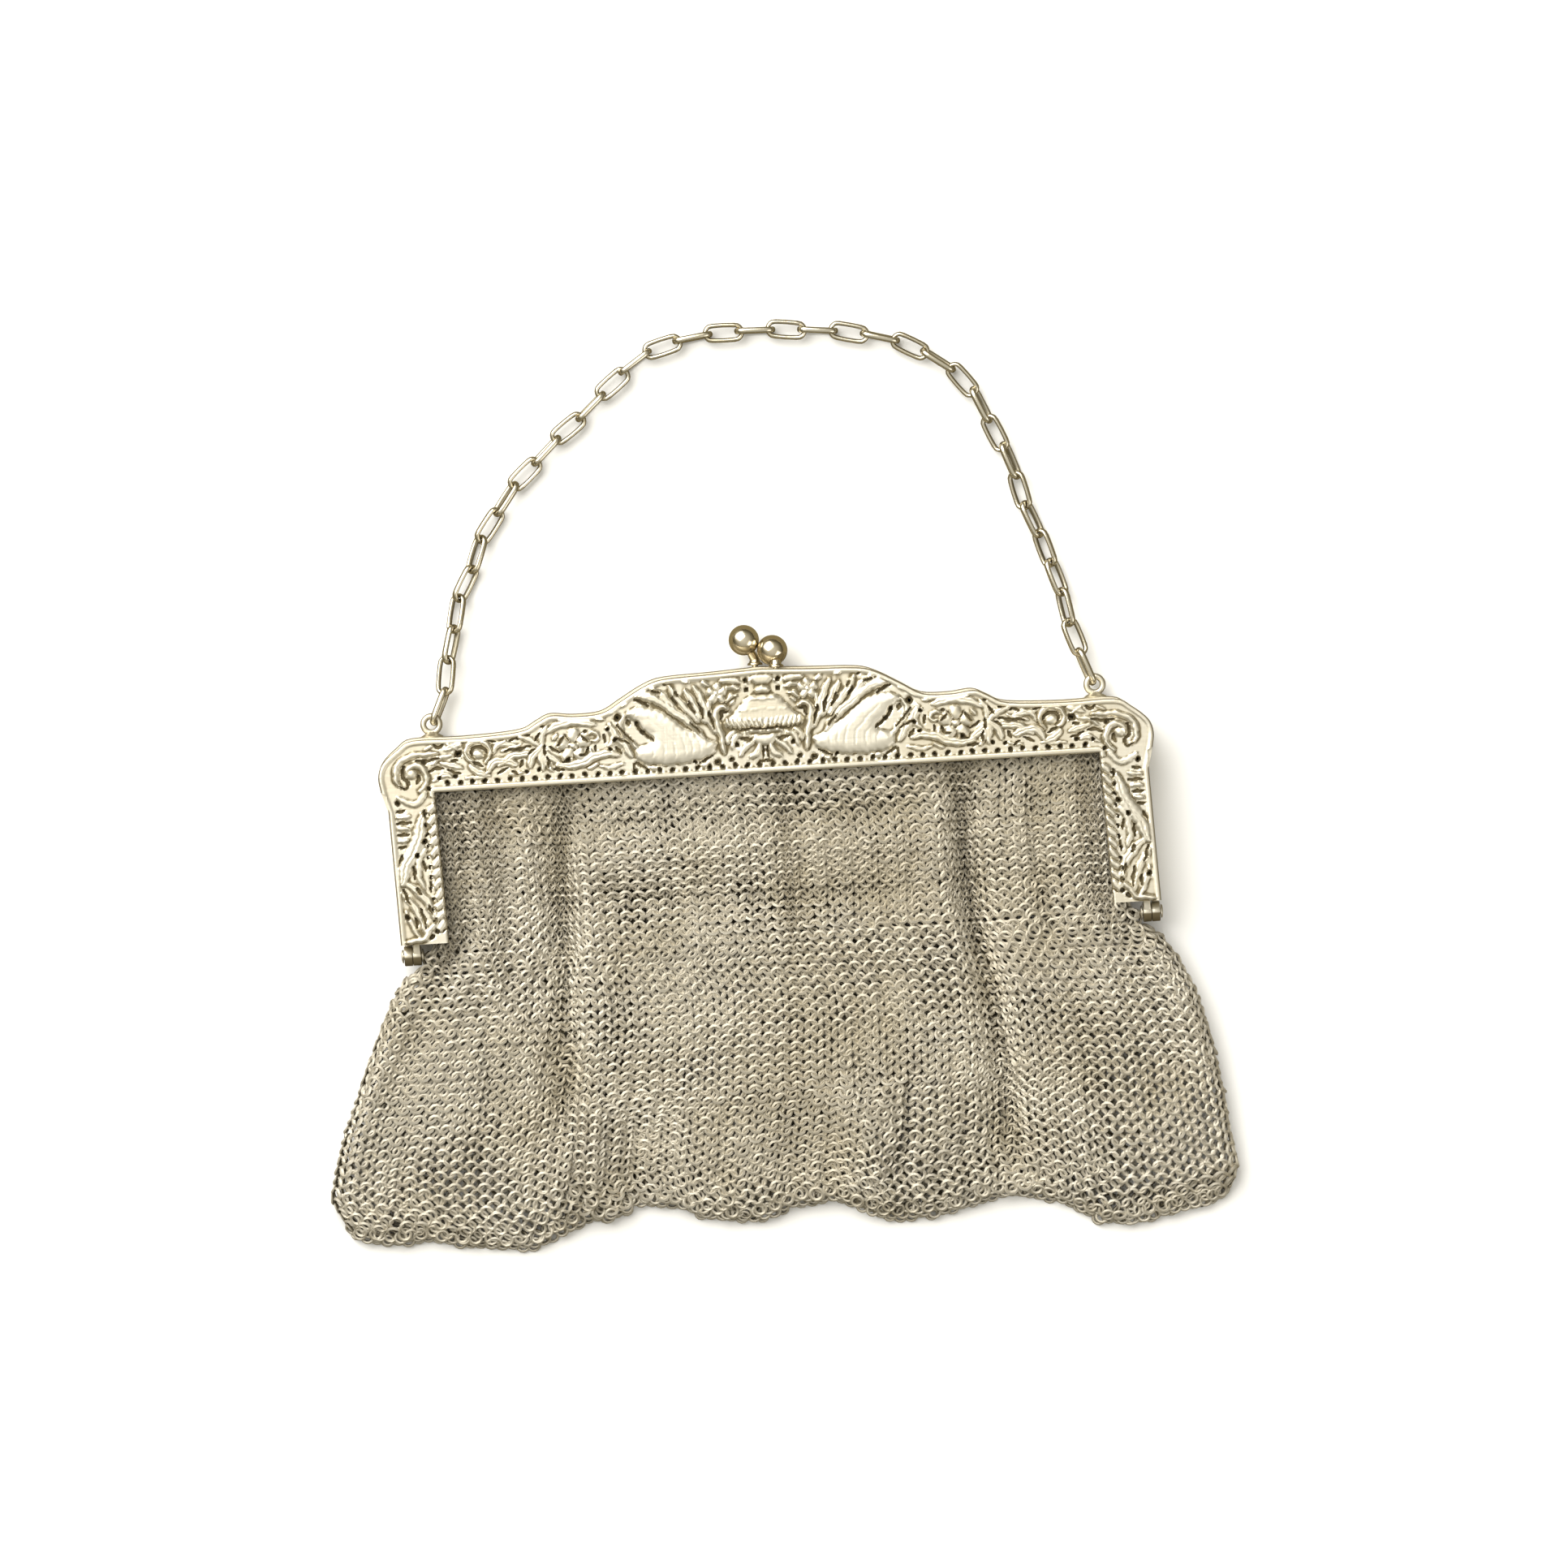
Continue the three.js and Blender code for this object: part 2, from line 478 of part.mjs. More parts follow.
// Seats of the riveted pieces: the place on the outside of the rim wall.
const claspSeat = (isFront) => {
  const { foot } = isFront ? CLASP.front : CLASP.back;
  return [foot, edgeHeight(foot, isFront), wallMiddle(isFront)];
};
const eyeSeat = (side) => {
  const x = side * EYE_ACROSS * FRAME_HALF_WIDTH;
  return [x, edgeHeight(x, false), wallMiddle(false)];
};
const eyeCentre = (side) => {
  const [x, y, z] = eyeSeat(side);
  return new THREE.Vector3(x, y + CLEARANCE + EYE_RADIUS + EYE_WIRE_RADIUS, z);
};

function frameFront() {
  const { body, bores } = frameHalf(true);
  const holes = [...piercing(), ...bores, rivetHole(...claspSeat(true))];
  return joined([body, ...relief()]).subtract(joined(holes));
}

function frameBack() {
  const { body, bores } = frameHalf(false);
  const holes = [...bores, rivetHole(...claspSeat(false)), rivetHole(...eyeSeat(-1)), rivetHole(...eyeSeat(1))];
  return body.subtract(joined(holes));
}

// Ball of the clasp on its stem, riveted through the rim wall of its half.
function claspBall(isFront) {
  const { ball, rise } = isFront ? CLASP.front : CLASP.back;
  const [x, y, z] = claspSeat(isFront);
  const centre = new THREE.Vector3(ball, y + rise, MIDDLE_Z + (isFront ? CLASP_DROP : -CLASP_DROP));
  const foot = new THREE.Vector3(x, y + CLEARANCE + COLLAR / 2, z);
  const sphere = new THREE.SphereGeometry(BALL_RADIUS, 12, 7).translate(...centre);
  return joined([solid(sphere), bar(foot, centre, STEM_RADIUS), ...rivet(x, y, z)]);
}

// Round eye for the chain, riveted through the rim wall of the back half.
function chainEye(side) {
  const ring = new THREE.TorusGeometry(EYE_RADIUS, EYE_WIRE_RADIUS, 5, 10).translate(...eyeCentre(side));
  return joined([solid(ring), ...rivet(...eyeSeat(side))]);
}

// Hinge pin with a head at each end.
function hingePin(side) {
  const outline = [
    [0, 0], [PIN_HEAD_RADIUS, 0], [PIN_HEAD_RADIUS, PIN_HEAD], [PIN_RADIUS, PIN_HEAD],
    [PIN_RADIUS, HINGE_WIDTH - PIN_HEAD], [PIN_HEAD_RADIUS, HINGE_WIDTH - PIN_HEAD],
    [PIN_HEAD_RADIUS, HINGE_WIDTH], [0, HINGE_WIDTH],
  ].map(([radius, along]) => new THREE.Vector2(radius, along - HINGE_WIDTH / 2));
  const geometry = new THREE.LatheGeometry(outline, 10).rotateZ(Math.PI / 2);
  const x = side * (HINGE_START + HINGE_WIDTH / 2) + leanAt(HINGE_Y);
  return solid(geometry.translate(x, HINGE_Y, MIDDLE_Z));
}

// Sides of the bag at a height: inside the legs down to the neck, then spreading to the hem.
function sidesAt(y) {
  const lean = LEG_LEAN * clamp(-y / LEG_LENGTH, 0, 1);
  const share = clamp((NECK_END - y) / (BAG_LENGTH + NECK_END), 0, 1.05);
  const left = lerp(NECK - lean, BAG_LEFT, read(BAG_SIDES, share, 1));
  const right = lerp(NECK + lean, BAG_RIGHT, read(BAG_SIDES, share, 2));
  return [-left, right];
}

// Height of the front of the mesh, with its folds.
function frontHeight(x, y, across) {
  const down = -y / BAG_LENGTH;
  let height = MOUTH_TOP * read(DRAPE, down);
  for (const { x1, y1, x2, y2, width, rise } of FOLDS) {
    const along = (down - y1) / (y2 - y1);
    const fade = smooth(along, ...FOLD_START) * (1 - smooth(along, ...FOLD_END));
    const off = (x / BAG_LEFT - lerp(x1, x2, along)) / width;
    height += MOUTH_TOP * rise * fade * Math.exp(-off * off);
  }
  height += HEM_FLUTES * (read(HEM_LINE, across) - HEM_LEVEL) * smooth(down, ...FLUTE_ROWS);
  return Math.min(height, MOUTH_TOP);
}

// Height of the back of the mesh: on the surface, and over the back plate where that lies under it.
function backHeight(x, y) {
  const clearOfBar = Math.min(-y, OPENING - Math.abs(x - leanAt(y)));
  const clearOfLegs = -LEG_LENGTH - y;
  const free = clamp(Math.max(clearOfBar, clearOfLegs) / (LEG_WIDTH - MESH), 0, 1);
  return (PLATE + CLEARANCE) * (1 - smooth(free, BACK_LIFT, 1));
}

// Ring of points round the bag at one row: over the front from left to right, and back under it.
function bagRing(row, inwards) {
  const ring = [];
  for (let index = 0; index < 2 * BAG_COLUMNS; index += 1) {
    const share = (index <= BAG_COLUMNS ? index : 2 * BAG_COLUMNS - index) / BAG_COLUMNS;
    const across = lerp(share, smooth(share, 0, 1), EDGE_COLUMNS);
    const hem = lerp(1, read(HEM_LINE, across), smooth(row.share, SCALLOP_START, 1));
    const y = row.y * hem + (row.share === 1 ? inwards * HEM_JOIN / MESH : 0);
    const [left, right] = sidesAt(y);
    const x = lerp(left + inwards, right - inwards, across);
    const edge = Math.min(x - left, right - x) - inwards;
    const round = Math.sqrt(1 - (1 - clamp(edge / (SIDE_ROUND - inwards), 0, 1)) ** 2);
    const top = frontHeight(x, y, across);
    const low = backHeight(x, y);
    const half = ((top - low) / 2 - inwards) * round;
    const isFront = index <= BAG_COLUMNS ? 1 : -1;
    ring.push(new THREE.Vector3(x, y, (top + low) / 2 + isFront * half));
  }
  return ring;
}

// Rows of the bag from the mouth to the neck and on to the hem.
function bagRows(mouthRows, shares) {
  const upper = Array.from({ length: mouthRows }, (_, index) => ({
    y: lerp(MOUTH_TUCK, NECK_END, index / mouthRows),
    share: 0,
  }));
  const lower = shares.map((share) => ({ y: lerp(NECK_END, -BAG_LENGTH, share), share }));
  return [...upper, ...lower];
}

// Hollow bag of one wall: the outside, the inside, the open mouth, and the closed hem.
function meshBag() {
  const around = 2 * BAG_COLUMNS;
  const outside = bagRows(MOUTH_ROWS, OUTER_ROWS).map((row) => bagRing(row, 0));
  const inside = bagRows(MOUTH_ROWS / 2, INNER_ROWS).map((row) => bagRing(row, MESH));
  const points = [...outside, ...inside].flat();
  const faces = [];
  const strip = (first, second) => {
    for (let index = 0; index < around; index += 1) {
      const next = (index + 1) % around;
      faces.push([first + index, second + index, second + next]);
      faces.push([first + index, second + next, first + next]);
    }
  };
  const seam = (row, flip) => {
    for (let index = 0; index < BAG_COLUMNS; index += 1) {
      const quad = [row + index, row + (around - index) % around, row + around - index - 1, row + index + 1];
      const [a, b, c, d] = flip ? quad.reverse() : quad;
      faces.push([a, b, c], [a, c, d]);
    }
  };
  const start = outside.length * around;
  outside.slice(1).forEach((_, row) => strip(row * around, (row + 1) * around));
  inside.slice(1).forEach((_, row) => strip(start + (row + 1) * around, start + row * around));
  strip(start, 0);
  seam(start - around, false);
  seam(points.length - around, true);
  const solidFaces = faces.filter(([a, b, c]) => a !== b && b !== c && c !== a);
  const geometry = new THREE.BufferGeometry().setFromPoints(points);
  geometry.setIndex(solidFaces.flat());
  geometry.computeVertexNormals();
  return geometry;
}

// Curve from eye to eye that the chain follows, lying on the surface between them.
function chainRoute() {
  const ends = [eyeCentre(-1), eyeCentre(1)];
  const resting = LINK_WIDTH / 2;
  const middle = CHAIN_ROUTE.map(([across, up]) => {
    const point = new THREE.Vector3(across * FRAME_HALF_WIDTH, up * CHAIN_REACH, ends[0].z);
    const away = Math.min(point.distanceTo(ends[0]), point.distanceTo(ends[1]));
    return point.setZ(lerp(ends[0].z, resting, smooth(away, CHAIN_LEVEL, CHAIN_DROP)));
  });
  return new THREE.CatmullRomCurve3([ends[0], ...middle, ends[1]], false, 'centripetal');
}

// One oval link along X: a ring whose two ends are pulled apart.
function linkShape(length) {
  const radius = (LINK_WIDTH - LINK_WIRE) / 2;
  const geometry = new THREE.TorusGeometry(radius, LINK_WIRE / 2, LINK_WIRE_SIDES, LINK_SIDES);
  geometry.rotateZ(Math.PI / LINK_SIDES);
  const pull = (length - LINK_WIDTH) / 2;
  const place = geometry.attributes.position;
  for (let index = 0; index < place.count; index += 1) {
    place.setX(index, place.getX(index) + Math.sign(place.getX(index)) * pull);
  }
  return geometryOf(solid(geometry));
}

// Links along the route, each turned a quarter against the one before it.
function chain() {
  const route = chainRoute();
  const reach = route.getLength();
  const start = EYE_RADIUS - EYE_WIRE_RADIUS - CLEARANCE / 2;
  const pitch = (reach - 2 * start) / LINK_COUNT;
  const shape = linkShape(pitch + 2 * LINK_WIRE + CLEARANCE);
  const links = [];
  for (let index = 0; index < LINK_COUNT; index += 1) {
    const share = (start + (index + 0.5) * pitch) / reach;
    const along = route.getTangentAt(share);
    const level = new THREE.Vector3(-along.y, along.x, 0).normalize();
    const upright = new THREE.Vector3().crossVectors(along, level);
    const link = new THREE.Mesh(shape, chainSilver);
    link.name = `link_${String(index + 1).padStart(2, '0')}`;
    link.position.copy(route.getPointAt(share));
    link.setRotationFromMatrix(new THREE.Matrix4().makeBasis(along, level, upright));
    link.rotateX(radians(read(CHAIN_TWIST, share) + 90 * (index % 2)));
    links.push(link);
  }
  return links;
}

function piece(name, body, material) {
  const result = new THREE.Mesh(body.isBufferGeometry ? body : geometryOf(body), material);
  result.name = name;
  return result;
}

const purse = new THREE.Group();
purse.add(
  piece('frame_front', frameFront(), silver),
  piece('frame_back', frameBack(), silver),
  piece('hinge_pin_left', hingePin(-1), silver),
  piece('hinge_pin_right', hingePin(1), silver),
  piece('clasp_ball_front', claspBall(true), polished),
  piece('clasp_ball_back', claspBall(false), polished),
  piece('chain_eye_left', chainEye(-1), silver),
  piece('chain_eye_right', chainEye(1), silver),
  piece('mesh_bag', meshBag(), mesh),
  ...chain(),
);

// The finished purse stands with its origin under the middle of its outline, on the surface.
const extent = new THREE.Box3().setFromObject(purse, true);
const middle = extent.getCenter(new THREE.Vector3());
purse.position.set(-middle.x, -middle.y, -extent.min.z);

export default purse;
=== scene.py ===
"""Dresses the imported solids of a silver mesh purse: its cast frame, ring mesh, clasp and chain.

Shapes are worked out in millimetres on the purse's own plan: X across the frame from its middle,
Y from the hem towards the chain with 0 at the lower edge of the bar, Z up from the surface.
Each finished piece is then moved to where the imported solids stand, in metres.
"""

import logging
import math
from dataclasses import dataclass
from enum import Enum

import bpy
import numpy as np
from mathutils import Matrix, Vector


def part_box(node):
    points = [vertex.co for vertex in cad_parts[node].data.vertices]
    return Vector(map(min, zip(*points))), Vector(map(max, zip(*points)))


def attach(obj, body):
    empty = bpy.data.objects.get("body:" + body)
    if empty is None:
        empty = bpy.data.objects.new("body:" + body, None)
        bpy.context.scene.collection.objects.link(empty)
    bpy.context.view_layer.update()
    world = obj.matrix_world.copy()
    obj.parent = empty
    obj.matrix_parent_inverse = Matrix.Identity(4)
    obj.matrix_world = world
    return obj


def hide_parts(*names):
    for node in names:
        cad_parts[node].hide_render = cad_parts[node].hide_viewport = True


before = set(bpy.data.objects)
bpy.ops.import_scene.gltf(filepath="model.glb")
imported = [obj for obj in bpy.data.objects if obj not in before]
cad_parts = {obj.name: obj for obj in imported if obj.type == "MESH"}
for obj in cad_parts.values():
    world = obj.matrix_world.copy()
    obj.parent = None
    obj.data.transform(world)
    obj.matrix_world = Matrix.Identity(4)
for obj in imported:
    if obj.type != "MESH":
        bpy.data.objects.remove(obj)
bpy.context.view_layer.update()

LOG = logging.getLogger("purse")
MM = 0.001
BODY = "root"

# Edge of the crest: distance from the middle as a share of the half width, height as a share of the crest.
CREST_LINE = (
    (0.0, 1.0), (0.129, 0.975), (0.25, 0.956), (0.303, 0.897), (0.362, 0.775), (0.415, 0.667),
    (0.487, 0.652), (0.546, 0.672), (0.585, 0.608), (0.632, 0.534), (0.776, 0.505), (0.904, 0.51),
    (0.947, 0.431), (0.988, 0.299), (1.0, 0.167), (0.995, 0.025),
)
# Spread of the bag below the hinges: share of the way to the hem, then of the spread, left and right.
BAG_SIDES = (
    (0, 0, 0), (0.008, 0.15, 0.19), (0.03, 0.23, 0.285), (0.072, 0.32, 0.39), (0.13, 0.4, 0.5), (0.244, 0.52, 0.655),
    (0.36, 0.64, 0.75), (0.476, 0.74, 0.828), (0.59, 0.855, 0.879), (0.706, 0.942, 0.92),
    (0.823, 1.01, 0.965), (0.89, 0.95, 1.01), (0.95, 0.85, 0.95), (1.05, 0.66, 0.78),
)
# Scallops of the hem: share of the way across, length as a share of the bag's length.
HEM_LINE = (
    (0, 0.972), (0.013, 0.986), (0.032, 0.997), (0.048, 1.0), (0.07, 0.988), (0.086, 0.99), (0.113, 1.007),
    (0.154, 1.021), (0.171, 1.023), (0.207, 1.016), (0.222, 0.994), (0.238, 0.993), (0.262, 0.966), (0.274, 0.963),
    (0.286, 0.974), (0.316, 0.954), (0.33, 0.928), (0.343, 0.94), (0.372, 0.945), (0.388, 0.958), (0.4, 0.978),
    (0.42, 0.982), (0.444, 0.996), (0.465, 0.986), (0.485, 0.976), (0.505, 0.956), (0.531, 0.96), (0.546, 0.949),
    (0.558, 0.955), (0.57, 0.977), (0.585, 0.985), (0.603, 1.005), (0.612, 1.01), (0.63, 1.002), (0.662, 1.004),
    (0.686, 0.993), (0.712, 0.976), (0.742, 0.966), (0.754, 0.976), (0.764, 0.96), (0.779, 0.98), (0.803, 0.988),
    (0.827, 1.002), (0.847, 1.024), (0.871, 1.045), (0.911, 1.041), (0.934, 1.034), (0.951, 1.023), (0.978, 1.016),
    (0.995, 1.008), (1, 0.99),
)
# Height of the bag's front down its middle: share of the length, share of the height at the mouth.
DRAPE = (
    (-0.04, 1), (0, 0.985), (0.09, 0.9), (0.167, 0.925), (0.273, 0.81), (0.364, 0.86), (0.51, 0.83),
    (0.62, 0.8), (0.72, 0.75), (0.85, 0.65), (0.955, 0.5), (1, 0.33), (1.05, 0.28),
)
# Folds of the bag's front: across and down at both ends, width, and rise, as shares.
FOLDS = (
    (-0.449, 0.04, -0.485, 0.82, 0.05, -0.2), (-0.39, 0.08, -0.4, 0.9, 0.055, 0.06),
    (0.41, 0.02, 0.478, 0.93, 0.05, -0.25), (0.49, 0.06, 0.56, 0.9, 0.06, 0.08),
    (-0.6, 0.05, -0.63, 0.6, 0.06, 0.05), (0.12, 0.7, 0.2, 1.0, 0.07, 0.08),
    (-0.33, 0.75, -0.34, 1.02, 0.05, -0.12),
)

Line = tuple[tuple[float, float], ...]

# Finer folds and ripples of the front: points in millimetres, half width, rise.
RIPPLES: tuple[tuple[Line, float, float], ...] = (
    (((-40.9, 0), (-41.5, -25), (-42, -51), (-44.7, -72)), 1.9, -1.3),
    (((-36.6, -5), (-37.6, -35), (-39, -62)), 2.2, 0.8),
    (((-55, -6), (-56.5, -45)), 1.8, 0.6), (((-48.5, -6), (-49.5, -48)), 1.7, 0.5),
    (((-52, -3), (-53, -44)), 1.3, -0.6),
    (((-30, -12), (-31, -50), (-33, -76)), 2.4, -0.4), (((-60.5, -4), (-61, -30)), 1.4, -0.5),
    (((37.7, 0), (37.6, -27), (41.7, -47), (43.6, -63), (43.7, -84)), 1.9, -1.5),
    (((33.4, -4), (33.6, -27), (37.4, -47), (39.2, -66)), 2.2, 0.8),
    (((42.4, -4), (43, -27), (46.6, -48), (48, -66)), 2.2, 0.7),
    (((52, -3), (53, -40)), 1.8, -0.5), (((57, -6), (58.5, -42)), 2.0, 0.45), (((3, 0), (3, -19)), 1.2, -0.6),
    (((-34, -14.5), (0, -14.2), (31, -14.8)), 3.2, 0.75), (((-36, -22.5), (0, -24.5), (33, -24)), 2.6, -0.5),
    (((-33, -8), (-12, -7), (10, -8), (33, -7)), 2.2, -0.6), (((-20, -38), (5, -40), (30, -38)), 4.0, -0.35),
    (((-41.5, -61), (-43.5, -72), (-47.2, -84)), 0.85, 1.5), (((-39.2, -61), (-41, -73), (-43.6, -85)), 0.85, 1.5),
    (((-37.1, -62), (-38.6, -74), (-40.3, -86)), 0.85, 1.3), (((-35, -64), (-35.5, -84)), 1.1, -0.8),
    (((22.5, -60), (20.6, -71), (16.4, -84)), 0.85, 1.5), (((20.2, -61), (18.3, -72), (14.0, -84)), 0.85, 1.5),
    (((17.9, -62), (16.0, -73), (11.6, -84)), 0.85, 1.3), (((25.4, -58), (24.0, -70), (21.6, -84)), 1.2, -0.8),
    (((-74.0, -41.5), (-67, -35), (-61.0, -29.2), (-59, -24)), 1.5, -1.1),
    (((-71.0, -46), (-62.5, -37), (-57, -28)), 1.6, 0.5),
    (((72.5, -39), (66, -31.5), (62.5, -24)), 1.6, -1.0), (((69.5, -43), (62, -34), (58.5, -26)), 1.6, 0.5),
    (((-60, -30), (-52, -50), (-46, -70)), 1.6, 0.35), (((-24, -60), (-25, -82)), 1.6, -0.5),
    (((14, -56), (17, -68), (20, -82)), 1.8, -0.8), (((49, -72), (50, -90)), 1.6, -0.7),
    (((-14, -58), (-13, -84)), 2.0, -0.4), (((-66, -35), (-73, -50), (-79, -68)), 2.2, -0.8),
    (((-61, -32), (-65, -52), (-70, -74)), 2.4, 0.5), (((66, -35), (73, -50), (78, -68)), 2.2, -0.8),
    (((61, -32), (65, -52), (69, -74)), 2.4, 0.5), (((-57, -40), (-59, -60), (-62, -84)), 1.8, -0.5),
    (((57, -42), (60, -62), (63, -84)), 1.8, -0.5), (((24, -40), (27, -60), (30, -82)), 2.4, 0.4),
)

# Where the cloth is gathered in pleats: points in millimetres, part of the spare cloth, half width.
GATHERS: tuple[tuple[Line, float, float], ...] = (
    (((-40.9, 4), (-41.5, -25), (-42, -51), (-44.7, -72), (-45, -90)), 0.15, 3.0),
    (((37.7, 4), (37.6, -27), (41.7, -47), (43.6, -63), (43.7, -90)), 0.15, 3.0),
    (((-63.2, 4), (-63.8, -30), (-72, -55), (-78, -90)), 0.16, 3.2),
    (((63.2, 4), (64.4, -30), (72, -55), (78, -90)), 0.16, 3.2),
    (((2.6, 4), (3.2, -22), (6, -90)), 0.08, 1.6), (((-54.5, 4), (-56.5, -45), (-60, -90)), 0.1, 2.6),
)

